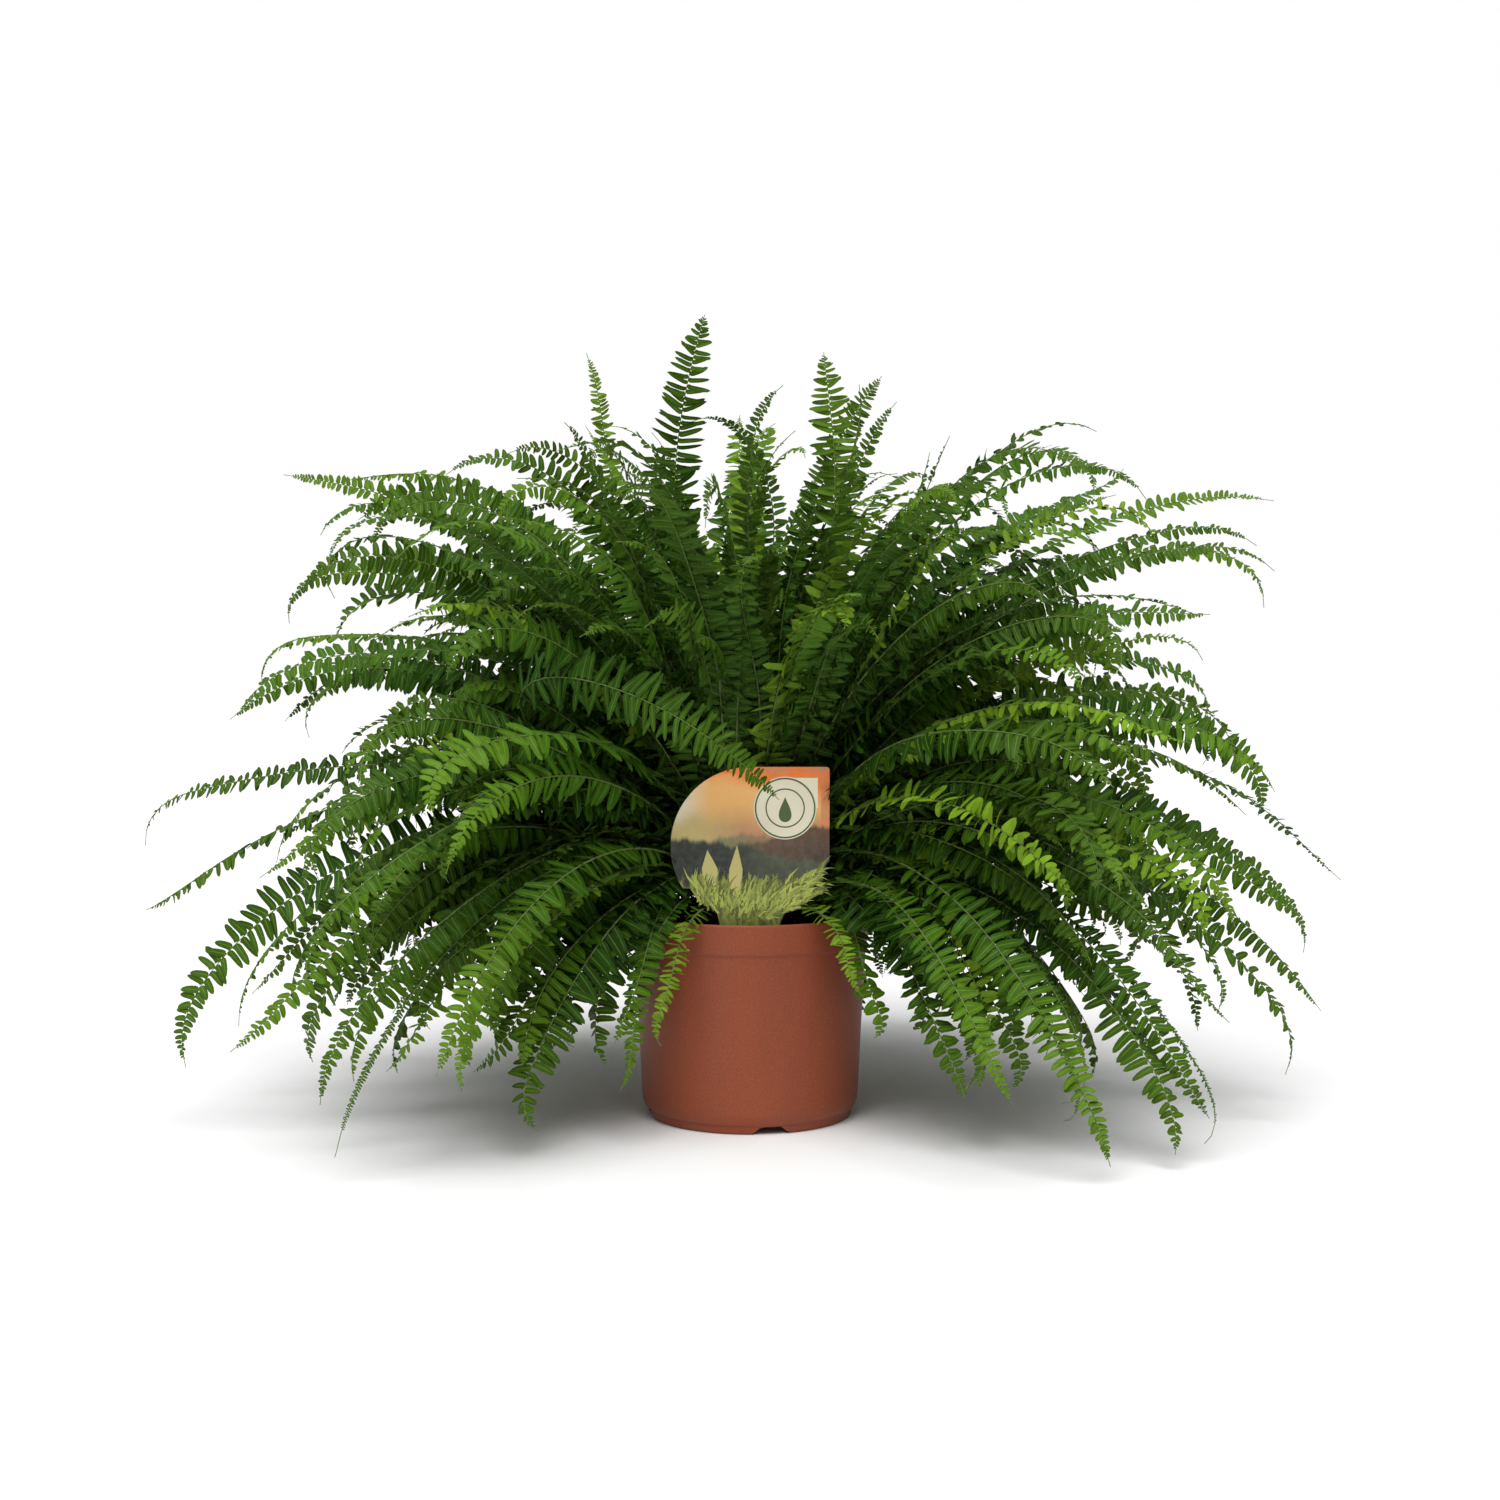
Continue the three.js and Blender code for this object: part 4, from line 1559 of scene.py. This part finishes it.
def print_material():
    """The label's printed picture: a warm sky over dark hills, with a meadow at the foot."""
    settings = bpy.context.scene.fern_label
    sky = tuple(settings.sky_colour)
    cream = tuple(settings.cream_colour)
    hill = tuple(settings.hill_colour)
    grass = tuple(settings.grass_colour)
    material, tree, shader, place = shader_of("label_picture")
    scale = 1 / LABEL_RADIUS
    centred = add(
        tree,
        "ShaderNodeMapping",
        {"Vector": place, "Location": (0.0, 0.0, -LABEL_MIDDLE * scale), "Scale": (scale,) * 3},
    ).outputs["Vector"]
    axis = add(tree, "ShaderNodeSeparateXYZ", {"Vector": centred}).outputs
    x = axis["X"]
    z = axis["Z"]
    wash = noise_field(tree, centred, 2.2, 4.0)
    paper = noise_field(tree, centred, 14.0, 3.0)

    drift = calc(tree, "MULTIPLY_ADD", wash, 0.42, calc(tree, "SUBTRACT", z, 0.21))
    inland = remap(tree, x, -0.85, 0.15)
    low_sky = blend(tree, inland, (0.52, 0.42, 0.16), (0.54, 0.27, 0.13))
    high_sky = blend(tree, remap(tree, x, -0.95, -0.45), cream, (0.85, 0.46, 0.15))
    picture = blend(tree, remap(tree, drift, 0.18, 0.55), low_sky, high_sky)
    glow = calc(tree, "MULTIPLY_ADD", x, 0.22, drift)
    picture = blend(tree, remap(tree, glow, 0.66, 0.95), picture, sky)
    edge = calc(tree, "MAXIMUM", remap(tree, z, 0.90, 0.93), remap(tree, x, 0.885, 0.90))
    streak = noise_field(tree, centred, 4.5, 2.0)
    strip = blend(tree, remap(tree, wash, 0.35, 0.65), sky, (0.55, 0.26, 0.14))
    picture = blend(tree, calc(tree, "MULTIPLY", edge, 0.9), picture, strip)

    # Each ridge: height at the middle, slope, ruggedness, its two colours, and its noise.
    for height, slope, rugged, left_tone, right_tone, seed in (
        (0.21, 0.06, 0.34, (0.23, 0.23, 0.115), (0.36, 0.19, 0.10), 3.1),
        (0.11, 0.24, 0.34, (0.12, 0.14, 0.085), (0.13, 0.062, 0.036), 7.7),
        (0.01, -0.16, 0.42, hill, (0.085, 0.098, 0.060), 1.3),
    ):
        row = add(tree, "ShaderNodeCombineXYZ", {"X": x, "Y": seed, "Z": seed}).outputs["Vector"]
        ridge = noise_field(tree, row, 3.4, 5.0, 0.6)
        top = calc(tree, "MULTIPLY_ADD", ridge, rugged, height - rugged * 0.5)
        top = calc(tree, "MULTIPLY_ADD", x, slope, top)
        under = calc(tree, "SUBTRACT", top, calc(tree, "MULTIPLY_ADD", streak, 0.10, z))
        tone = blend(tree, remap(tree, x, -0.45, 0.45), left_tone, right_tone)
        tone = blend(tree, remap(tree, under, 0.0, 0.5, 0.0, 0.6), tone, shade(hill, 0.8))
        patch = remap(tree, streak, 0.35, 0.65, 0.0, 0.3)
        tone = blend(tree, patch, tone, shade(left_tone, 0.6))
        picture = blend(tree, remap(tree, under, -0.02, 0.06), picture, tone)

    meadow = add(
        tree, "ShaderNodeMapping", {"Vector": centred, "Scale": (9.0, 1.0, 2.2)}
    ).outputs["Vector"]
    blades = noise_field(tree, meadow, 2.6, 5.0, 0.65)
    lawn = calc(tree, "SUBTRACT", calc(tree, "MULTIPLY_ADD", blades, 0.75, -0.78), z)
    green = blend(tree, remap(tree, blades, 0.35, 0.65), shade(grass, 0.30), shade(grass, 1.0))
    green = blend(tree, remap(tree, streak, 0.45, 0.62, 0.0, 0.5), green, shade(grass, 0.25))
    picture = blend(tree, remap(tree, lawn, 0.0, 0.06), picture, green)
    fleck = remap(tree, paper, 0.35, 0.7, 0.0, 0.03)
    picture = blend(tree, fleck, picture, (0.9, 0.85, 0.75))
    side = add(tree, "ShaderNodeSeparateXYZ", {"Vector": place}).outputs["Y"]
    behind = calc(tree, "GREATER_THAN", side, LABEL_FACE + LABEL_THICK * 0.5)
    picture = blend(tree, behind, picture, (0.78, 0.77, 0.72))
    connect(
        tree,
        shader,
        Base_Color=picture,
        Roughness=remap(tree, paper, 0.3, 0.7, 0.32, 0.44),
        Normal=bump(tree, paper, 0.0001, 0.15),
    )
    shader.inputs["Specular IOR Level"].default_value = 0.3
    return material


def ink_material(name, tint, spread):
    """Printed ink with a slight mottle. spread is how far its tone varies."""
    material, tree, shader, place = shader_of(name)
    speck = noise_field(tree, place, 600.0, 3.0)
    tone = calc(tree, "ADD", attribute(tree, "tone"), calc(tree, "MULTIPLY", speck, 0.3))
    base = blend(tree, remap(tree, tone, 0.0, 1.3), shade(tint, 1 - spread), shade(tint, 1 + spread))
    connect(tree, shader, Base_Color=base, Roughness=remap(tree, speck, 0.3, 0.7, 0.33, 0.45))
    return material


def grass_tree():
    """Stands printed blades of grass along rows of points, leaning out from their middle."""
    tree, given, end = new_tree(
        "label_grass",
        {
            "Blade": "Object",
            "Height": "Float",
            "Fan": "Float",
            "Seed": "Int",
            "Ink": "Material",
        },
    )
    seed = given["Seed"]
    points = add(tree, "GeometryNodeMeshToPoints", {"Mesh": given["Geometry"]}).outputs["Points"]
    points = keep(tree, points, "tone", chance(tree, 0.0, 1.0, seed, 1))
    lean = calc(tree, "MULTIPLY", named(tree, "lean"), given["Fan"])
    lean = calc(tree, "ADD", lean, chance(tree, -0.6, 0.6, seed, 2))
    turn = add(tree, "ShaderNodeCombineXYZ", {"Y": lean}).outputs["Vector"]
    turn = add(tree, "FunctionNodeEulerToRotation", {"Euler": turn}).outputs["Rotation"]
    tall = calc(tree, "MULTIPLY", given["Height"], chance(tree, 0.35, 1.0, seed, 3))
    tall = calc(tree, "MULTIPLY", tall, named(tree, "tall"))
    blade = add(tree, "GeometryNodeObjectInfo", {"Object": given["Blade"]}).outputs["Geometry"]
    wide = calc(tree, "MULTIPLY", given["Height"], chance(tree, 0.7, 1.6, seed, 4))
    scale = add(tree, "ShaderNodeCombineXYZ", {"X": wide, "Y": 1.0, "Z": tall}).outputs["Vector"]
    placed = add(
        tree,
        "GeometryNodeInstanceOnPoints",
        {"Points": points, "Instance": blade, "Rotation": turn, "Scale": scale},
    ).outputs["Instances"]
    placed = add(tree, "GeometryNodeRealizeInstances", {"Geometry": placed}).outputs["Geometry"]
    placed = add(
        tree, "GeometryNodeSetMaterial", {"Geometry": placed, "Material": given["Ink"]}
    ).outputs["Geometry"]
    tree.links.new(placed, end)
    return tree


def label_mesh():
    """The label's plate, with the badge, its panel and the leaves printed on it."""
    front = LABEL_FACE
    skin = PRINT_SKIN
    bm = bmesh.new()
    add_flat(bm, label_outline(), front, front + LABEL_THICK, 0)
    x = BADGE_X
    z = LABEL_MIDDLE + BADGE_Z
    right = x + BADGE_RADIUS + 0.001
    top = z + BADGE_RADIUS - 0.001
    add_flat(bm, [(x, top), (x, z), (right, z), (right, top)], front - 0.4 * skin, front + skin, 3)
    add_flat(bm, circle(x, z, BADGE_RADIUS), front - skin, front + skin, 1)
    for outer, inner in BADGE_RINGS:
        add_flat(bm, circle(x, z, outer), front - 2 * skin, front, 2, hole=circle(x, z, inner))
    add_flat(bm, drop_outline(x, z, DROP_SIZE), front - 2 * skin, front, 2)
    for leaf in (
        printed_leaf(-0.032, LABEL_MIDDLE - 0.036, 0.014, 0.033, -0.12),
        printed_leaf(-0.013, LABEL_MIDDLE - 0.042, 0.012, 0.043, 0.05),
        printed_leaf(0.024, LABEL_MIDDLE - 0.052, 0.009, 0.021, 0.6),
    ):
        add_flat(bm, leaf, front - 0.3 * skin, front, 4)
    bmesh.ops.recalc_face_normals(bm, faces=bm.faces)
    mesh = bpy.data.meshes.new("picture_label")
    bm.to_mesh(mesh)
    bm.free()
    return mesh


def meadow_rows():
    """Points along the label's foot where blades of grass stand, with their lean and height."""
    random = np.random.default_rng(31)
    spots = []
    leans = []
    talls = []
    for _ in range(GRASS_BLADES):
        x = random.uniform(-0.72, 0.94)
        base = -0.93 + 0.42 * x**2 + random.uniform(-0.02, 0.30)
        spots.append((x * LABEL_RADIUS * 0.93, LABEL_FACE, LABEL_MIDDLE + base * LABEL_RADIUS))
        leans.append(x)
        talls.append(random.uniform(0.5, 1.0))
    rows = bpy.data.meshes.new("meadow")
    rows.from_pydata(spots, [], [])
    rows.attributes.new("lean", "FLOAT", "POINT").data.foreach_set("value", leans)
    rows.attributes.new("tall", "FLOAT", "POINT").data.foreach_set("value", talls)
    return rows


def grass_blade_mesh():
    """One printed blade of grass, a unit tall: a thin closed relief that curves to the right."""
    bend = 0.25
    relief = 0.0003
    points = [(-0.04, 0, 0), (0.04, 0, 0), (0.04 + bend * 0.3, 0, 0.6), (bend, 0, 1)]
    points += [(-0.03 + bend * 0.3, 0, 0.6), (0, -relief, 0.01), (bend * 0.35, -relief, 0.6)]
    faces = [(0, 5, 6, 4), (5, 1, 2, 6), (4, 6, 3), (6, 2, 3), (0, 1, 5), (0, 4, 3, 2, 1)]
    return mesh_of("blade", points, faces, False)


class FERN_OT_label(bpy.types.Operator):
    """Make the picture label, with its printed meadow and its badge"""

    bl_idname = "fern.make_label"
    bl_label = "Label"

    def execute(self, context):
        settings = context.scene.fern_label
        cream = tuple(settings.cream_colour)
        label = new_piece("picture_label", label_mesh())
        for material in (
            print_material(),
            ink_material("badge_paper", cream, 0.03),
            ink_material("badge_ink", (0.070, 0.120, 0.035), 0.1),
            ink_material("panel_paper", shade(cream, 1.06), 0.03),
            ink_material("printed_leaf", (0.56, 0.50, 0.17), 0.12),
        ):
            label.data.materials.append(material)
        blade = bpy.data.objects.new("blade", grass_blade_mesh())
        meadow = new_piece("meadow", meadow_rows())
        run_tree(
            meadow,
            grass_tree(),
            {
                "Blade": blade,
                "Height": 0.025,
                "Fan": 0.75,
                "Seed": 9,
                "Ink": ink_material("meadow_ink", tuple(settings.grass_colour), 0.75),
            },
        )
        bpy.data.objects.remove(blade)
        join_pieces(label, [meadow])
        hold(label, "label_print", "care_label")
        return {"FINISHED"}


# ---- fronds ---------------------------------------------------------------------------------

# The age of each CAD frond that isn't mature, by its number.
MID_FRONDS = {5, 7, 10, 12, 14, 15, 17, 20, 23, 27, 29, 33, 35, 37, 41, 45, 48, 49, 50, 52}
YOUNG_FRONDS = {8, 9, 28, 54, 56}

# A frond whose tip ends this near the middle and above the pot is steep: it stays broad to its tip.
STEEP_REACH = 0.17
STEEP_FULLNESS = 9

# Steep fronds, and those with leaflets shorter than this, have finer leaflets.
FINE_BELOW = 0.014
FINE = 0.66

# More fronds that shape the outline, laid out as arched() takes them: the direction they leave
# the crown, launch angle, reach, tip height, angle at the tip, width, age, swing and roll.
OUTLINE_FRONDS = [
    (189, 40, 0.396, 0.051, -80, FULL, "mature", 0, 0),
    (224, 42, 0.336, 0.060, -70, NARROW, "young", 0, 0),
    (358, 48, 0.512, 0.143, -60, SLIM, "mature", 0, -25),
    (7, 58, 0.459, 0.319, -45, FULL, "mature", 0, -30),
    (348, 64, 0.401, 0.434, 12, NARROW, "young", 0, -50),
    (7, 66, 0.490, 0.478, -25, SLIM, "mid", 0, -35),
    (356, 68, 0.443, 0.523, 2, SLIM, "mature", 0, -40),
    (23, 74, 0.412, 0.574, 10, SLIM, "mature", 0, -30),
    (31, 82, 0.154, 0.641, 60, SLIM, "mature", 0, 0),
    (81, 83, 0.101, 0.643, 70, SLIM, "mid", 0, 0),
    (127, 82, 0.150, 0.613, 60, NARROW, "young", 0, 0),
    (197, 78, 0.210, 0.598, 15, FULL, "mature", 0, 30),
    (156, 72, 0.414, 0.570, -15, SLIM, "mid", 0, 30),
    (190, 72, 0.337, 0.518, -45, FULL, "mature", 0, 40),
    (172, 68, 0.454, 0.460, -25, FULL, "mature", 0, 45),
    (205, 52, 0.431, 0.222, -70, FULL, "mature", 6, 20),
    (226, 64, 0.385, 0.300, -40, BROAD, "mid", 4, 0),
    (218, 60, 0.345, 0.235, -55, BROAD, "mature", 6, 0),
    (314, 64, 0.385, 0.309, -35, BROAD, "mature", 0, 0),
    (322, 58, 0.384, 0.226, -55, BROAD, "mid", 0, 0),
    (313, 80, 0.110, 0.418, 65, FULL, "mid", 0, 0),
    (60, 25, 0.200, 0.040, -86, FULL, "mature", 0, 0),
    (324, 36, 0.346, 0.040, -82, WHIP, "mature", 0, 0),
    (262, 82, 0.150, 0.430, 20, BROAD, "mature", -14, 0),
    (276, 83, 0.120, 0.470, 45, BROAD, "mature", 10, 0),
    (250, 78, 0.230, 0.440, -10, FULL, "mid", 0, -15),
    (292, 78, 0.240, 0.430, -10, FULL, "mature", 0, 10),
    (222, 50, 0.200, 0.090, -80, FULL, "mature", 0, 0),
    (230, 54, 0.190, 0.120, -78, FULL, "mature", -4, 0),
    (184, 68, 0.330, 0.400, -40, BROAD, "mature", 0, 0),
    (176, 70, 0.300, 0.460, -30, BROAD, "mature", 0, 0),
    (192, 66, 0.280, 0.360, -45, BROAD, "mid", 0, 0),
    (196, 72, 0.260, 0.450, -30, FULL, "mature", 0, 0),
    (356, 68, 0.330, 0.410, -40, BROAD, "mature", 0, 0),
    (4, 70, 0.300, 0.460, -30, FULL, "mature", 0, 0),
    (350, 66, 0.300, 0.360, -45, FULL, "mid", 0, 0),
    (228, 44, 0.170, 0.085, -82, SLIM, "mid", 0, 0),
    (200, 48, 0.240, 0.075, -80, BROAD, "mid", 0, 0),
    (208, 44, 0.210, 0.060, -82, FULL, "mature", 0, 0),
    (190, 46, 0.190, 0.060, -82, FULL, "mature", 0, 0),
    (214, 52, 0.270, 0.090, -78, BROAD, "mature", 0, 0),
    (180, 40, 0.175, 0.050, -82, FULL, "mature", 0, 0),
    (204, 56, 0.300, 0.140, -72, BROAD, "mid", 0, 0),
    (218, 40, 0.175, 0.060, -84, FULL, "mature", 0, 0),
    (212, 46, 0.215, 0.060, -82, FULL, "mature", 0, 0),
    (318, 50, 0.200, 0.090, -80, FULL, "mature", 0, 0),
    (313, 44, 0.170, 0.085, -82, SLIM, "mid", 0, 0),
    (340, 50, 0.250, 0.080, -80, BROAD, "mature", 0, 0),
    (350, 46, 0.190, 0.090, -82, FULL, "mature", 0, 0),
    (326, 52, 0.270, 0.110, -78, BROAD, "mature", 0, 0),
    (2, 42, 0.175, 0.080, -82, FULL, "mature", 0, 0),
    (330, 46, 0.220, 0.060, -82, FULL, "mature", 0, 0),
    (166, 66, 0.350, 0.390, -42, BROAD, "mature", 0, 25),
    (152, 68, 0.330, 0.420, -40, BROAD, "mature", 0, 25),
    (16, 67, 0.350, 0.400, -42, BROAD, "mature", 0, -25),
    (14, 73, 0.350, 0.545, 0, FULL, "mature", 0, -30),
    (36, 77, 0.260, 0.590, 25, FULL, "mid", 0, -20),
    (134, 40, 0.220, 0.100, -80, BROAD, "mature", 0, 35),
    (48, 40, 0.220, 0.100, -80, BROAD, "mature", 0, -35),
    (101, 40, 0.340, 0.100, -75, BROAD, "mature", 0, 0),
    (79, 40, 0.340, 0.100, -75, BROAD, "mature", 0, 0),
    (170, 70, 0.400, 0.440, -30, BROAD, "mature", 0, 25),
    (161, 72, 0.350, 0.480, -25, FULL, "mature", 0, 20),
    (186, 73, 0.360, 0.470, -30, FULL, "mid", 0, 20),
    (20, 71, 0.370, 0.480, -25, FULL, "mature", 0, -20),
]


def age_of(number):
    if number in YOUNG_FRONDS:
        return "young"
    return "mid" if number in MID_FRONDS else "mature"


class FERN_OT_fronds(bpy.types.Operator):
    """Make the fronds that shape the fern's outline, one piece for each CAD frond"""

    bl_idname = "fern.make_fronds"
    bl_label = "Outer fronds"

    def execute(self, context):
        kit = frond_kit()
        limit = math.degrees(context.scene.fern_fronds.blade_roll)
        for name in FROND_NAMES:
            number = int(name[-2:])
            age = age_of(number)
            rib = cad_midrib(name, age, 100 + number)
            steep = np.hypot(*rib.points[-1, :2]) < STEEP_REACH and rib.points[-1, 2] > POT_TOP
            rib = rib.swayed(0.008, 0.25 if steep else 1.0)
            if steep:
                rib.half = rib.leaflet_reach(rib.longest, STEEP_FULLNESS)
                rib.faced(90, 1)
            else:
                rib.faced(limit, rib.random.uniform(0.1, 1.0))
            if steep or rib.longest < FINE_BELOW:
                rib.fineness = FINE
            piece = grow_fronds(f"leafy_{name}", [rib], age, kit, "outer")
            hold(piece, f"frond_{age}", name)
        return {"FINISHED"}


# A tier of inner fronds is tried this often, and its seeds start this far after the last one's.
TRIES = 1400
SEEDS_APART = 1500

# Degrees from each inner frond to the next, as leaves follow one another round a stem.
GOLDEN_TURN = 137.508

# The directions that a tier may take: right round, the front, and behind at the left and right.
EVERYWHERE = ((0, 360),)
FORWARD = ((192, 348),)
FLANKS = ((148, 208), (-28, 32))


def inner_tiers(settings):
    """Each tier of inner fronds: how many, their directions, the share of young ones, and the
    least and most launch angle, reach, tip height, angle at the tip, and width."""
    return (
        (settings.low, EVERYWHERE, 0.04, (30, 48), (0.20, 0.44), (0.03, 0.16), (-85, -58), (0.8, 1.2)),
        (settings.middle, EVERYWHERE, 0.07, (48, 64), (0.28, 0.47), (0.16, 0.36), (-65, -35), (0.8, 1.2)),
        (settings.upper, EVERYWHERE, 0.14, (64, 77), (0.22, 0.42), (0.38, 0.56), (-50, 0), (0.7, 1.05)),
        (settings.heart, EVERYWHERE, 0.12, (76, 86), (0.05, 0.24), (0.45, 0.64), (20, 85), (0.6, 0.95)),
        (settings.beside, FORWARD, 0.04, (28, 58), (0.15, 0.40), (0.04, 0.30), (-84, -50), (0.9, 1.2)),
        (settings.flanks, FLANKS, 0.03, (44, 70), (0.16, 0.36), (0.10, 0.42), (-75, -20), (0.9, 1.2)),
    )


def hidden_fronds(settings):
    """Fronds that fill the inside of the fern, set out by rule in tiers."""
    random = np.random.default_rng(settings.seed)
    found = []
    turn = 0.0
    for tier, (count, spread, youth, *ranges) in enumerate(inner_tiers(settings)):
        made = 0
        for attempt in range(TRIES):
            if made == count:
                break
            turn += GOLDEN_TURN
            launch, reach, height, droop, girth = (random.uniform(*r) for r in ranges)
            low, high = spread[attempt % len(spread)]
            azimuth = low + (turn % 360) / 360 * (high - low) + random.uniform(-5, 5)
            age = random.choice(["mature", "mid", "young"], p=[0.68 - youth, 0.32, youth])
            swing = random.uniform(-9, 9)
            width = FULL * girth
            seed = attempt + SEEDS_APART * tier
            rib = arched(azimuth, launch, reach, height, droop, width, str(age), swing, 0, seed)
            rib.faced(65, random.uniform(-0.2, 1.0))
            rib.fineness = random.uniform(0.78, 1.08)
            if in_box(rib) and not crosses_front(rib) and not meets_pot(rib):
                found.append(rib)
                made += 1
    return found


def over_label():
    """The frond that arches over the label from its left and dips its tip in front of it."""
    start = root_point(200, 60)
    first = np.array([-0.360, -0.050, 0.420])
    second = np.array([-0.110, -0.235, 0.445])
    end = np.array([0.024, -0.112, 0.286])
    square = np.array([0.0, -0.15, -1.0])
    rib = through_handles(start, first, second, end, BROAD, square, "mature", 77)
    rib.fineness = 0.7
    return rib


# Outer fronds that leave the crown more steeply than this show the front more of their face.
UPRIGHT_LAUNCH = 74

SIDES = (
    "right", "back_right", "back", "back_left", "left", "front_left", "front", "front_right"
)


def sector_of(rib, count):
    """Which of so many equal sectors a frond leans into, round from the right."""
    x, y, _ = rib.points[len(rib.points) // 2]
    return round(math.atan2(y, x) / (2 * math.pi) * count) % count


class FERN_OT_companions(bpy.types.Operator):
    """Make the other outer fronds and all the inner ones, grouped by age and by side"""

    bl_idname = "fern.make_companions"
    bl_label = "Other fronds"

    def execute(self, context):
        kit = frond_kit()
        outline = [over_label()]
        for i, row in enumerate(OUTLINE_FRONDS):
            rib = arched(*row, seed=500 + i)
            launch = row[1]
            rib.faced(80, 0.8 if launch > UPRIGHT_LAUNCH else 0.35)
            if crosses_front(rib, 0.0) or not in_box(rib):
                raise RuntimeError(f"outline frond {row} hangs in front or leaves the box")
            outline.append(rib)
        hidden = hidden_fronds(context.scene.fern_companions)
        for place, ribs, leaflets, crowding in (
            ("rim", outline, "outer", 4),
            ("inner", hidden, "inner", 1),
        ):
            for age, step in (("mature", 1), ("mid", 2), ("young", 4)):
                sectors = SIDES[:: step * crowding] or SIDES[:1]
                for number, label in enumerate(sectors):
                    group = [
                        r for r in ribs if r.age == age and sector_of(r, len(sectors)) == number
                    ]
                    if group:
                        piece = grow_fronds(f"{place}_{age}_{label}", group, age, kit, leaflets)
                        hold(piece, f"frond_{age}")
        drop_frond_kit()
        return {"FINISHED"}


# ---- stage ----------------------------------------------------------------------------------

FLOOR_HALF = 12.0
FLOOR_LEVEL = -0.0006  # just under the pot's foot
FLOOR_CORNERS = ((-1, -1), (1, -1), (1, 1), (-1, 1))

# The way the main light shines: down, and from the front.
LIGHT_WAY = Vector((0.1, 0.62, -1.3))

class FERN_OT_stage(bpy.types.Operator):
    """Make the camera, the pale floor and the soft lights"""

    bl_idname = "fern.make_stage"
    bl_label = "Stage"

    def execute(self, context):
        settings = context.scene.fern_stage
        scene = context.scene
        optics = bpy.data.cameras.new("camera")
        optics.lens = CAMERA_LENS
        optics.sensor_width = CAMERA_SENSOR
        camera = bpy.data.objects.new("camera", optics)
        camera.location = CAMERA_SPOT
        camera.rotation_euler = (math.radians(90 - CAMERA_DIP), 0.0, 0.0)
        scene.collection.objects.link(camera)
        scene.camera = camera
        scene.view_settings.view_transform = "Standard"

        material, tree, shader, place = shader_of("floor_paint")
        speck = noise_field(tree, place, 9.0, 4.0)
        tint = tuple(settings.floor_colour)
        base = blend(tree, speck, shade(tint, 0.985), shade(tint, 1.0))
        connect(tree, shader, Base_Color=base)
        shader.inputs["Roughness"].default_value = 0.9
        shader.inputs["Specular IOR Level"].default_value = 0.2
        corners = [(x * FLOOR_HALF, y * FLOOR_HALF, FLOOR_LEVEL) for x, y in FLOOR_CORNERS]
        floor = new_piece("floor", mesh_of("floor", corners, [(0, 1, 2, 3)]))
        floor.data.materials.append(material)

        world = bpy.data.worlds.new("room")
        world.use_nodes = True
        tree = world.node_tree
        seen = add(tree, "ShaderNodeLightPath").outputs["Is Camera Ray"]
        strength = remap(tree, seen, 0.0, 1.0, settings.sky_strength, 1.0, smooth=False)
        background = tree.nodes["Background"]
        background.inputs["Color"].default_value = (1.0, 1.0, 1.0, 1.0)
        tree.links.new(strength, background.inputs["Strength"])
        scene.world = world
        glow = bpy.data.lights.new("main_light", "SUN")
        glow.energy = settings.key_strength
        glow.angle = settings.key_spread
        lamp = bpy.data.objects.new("main_light", glow)
        lamp.rotation_euler = LIGHT_WAY.to_track_quat("-Z", "Y").to_euler()
        scene.collection.objects.link(lamp)
        return {"FINISHED"}


# ---- add-on ---------------------------------------------------------------------------------


class FERN_PT_builder(bpy.types.Panel):
    """Lists the steps that make the fern, with their sizes and colours"""

    bl_idname = "FERN_PT_builder"
    bl_label = "Potted fern"
    bl_space_type = "VIEW_3D"
    bl_region_type = "UI"
    bl_category = "Fern"

    def draw(self, context):
        for operator, group in STEPS:
            box = self.layout.box()
            box.operator(operator.bl_idname)
            if group:
                settings = getattr(context.scene, group)
                for item in settings.bl_rna.properties:
                    if item.identifier not in ("name", "rna_type"):
                        box.prop(settings, item.identifier)


SETTINGS = {
    "fern_fronds": FernFrondSettings,
    "fern_companions": FernCompanionSettings,
    "fern_pot": FernPotSettings,
    "fern_soil": FernSoilSettings,
    "fern_label": FernLabelSettings,
    "fern_stage": FernStageSettings,
}

STEPS = (
    (FERN_OT_stage, "fern_stage"),
    (FERN_OT_pot, "fern_pot"),
    (FERN_OT_soil, "fern_soil"),
    (FERN_OT_crown, None),
    (FERN_OT_label, "fern_label"),
    (FERN_OT_fronds, "fern_fronds"),
    (FERN_OT_companions, "fern_companions"),
)


def register():
    for name, group in SETTINGS.items():
        bpy.utils.register_class(group)
        setattr(bpy.types.Scene, name, bpy.props.PointerProperty(type=group))
    for operator, _ in STEPS:
        bpy.utils.register_class(operator)
    bpy.utils.register_class(FERN_PT_builder)


def unregister():
    bpy.utils.unregister_class(FERN_PT_builder)
    for operator, _ in reversed(STEPS):
        bpy.utils.unregister_class(operator)
    for name, group in reversed(SETTINGS.items()):
        delattr(bpy.types.Scene, name)
        bpy.utils.unregister_class(group)


def main():
    register()
    bpy.ops.fern.make_stage()
    bpy.ops.fern.make_pot()
    bpy.ops.fern.make_soil()
    bpy.ops.fern.make_crown()
    bpy.ops.fern.make_label()
    bpy.ops.fern.make_fronds()
    bpy.ops.fern.make_companions()


if __name__ == "__main__":
    main()
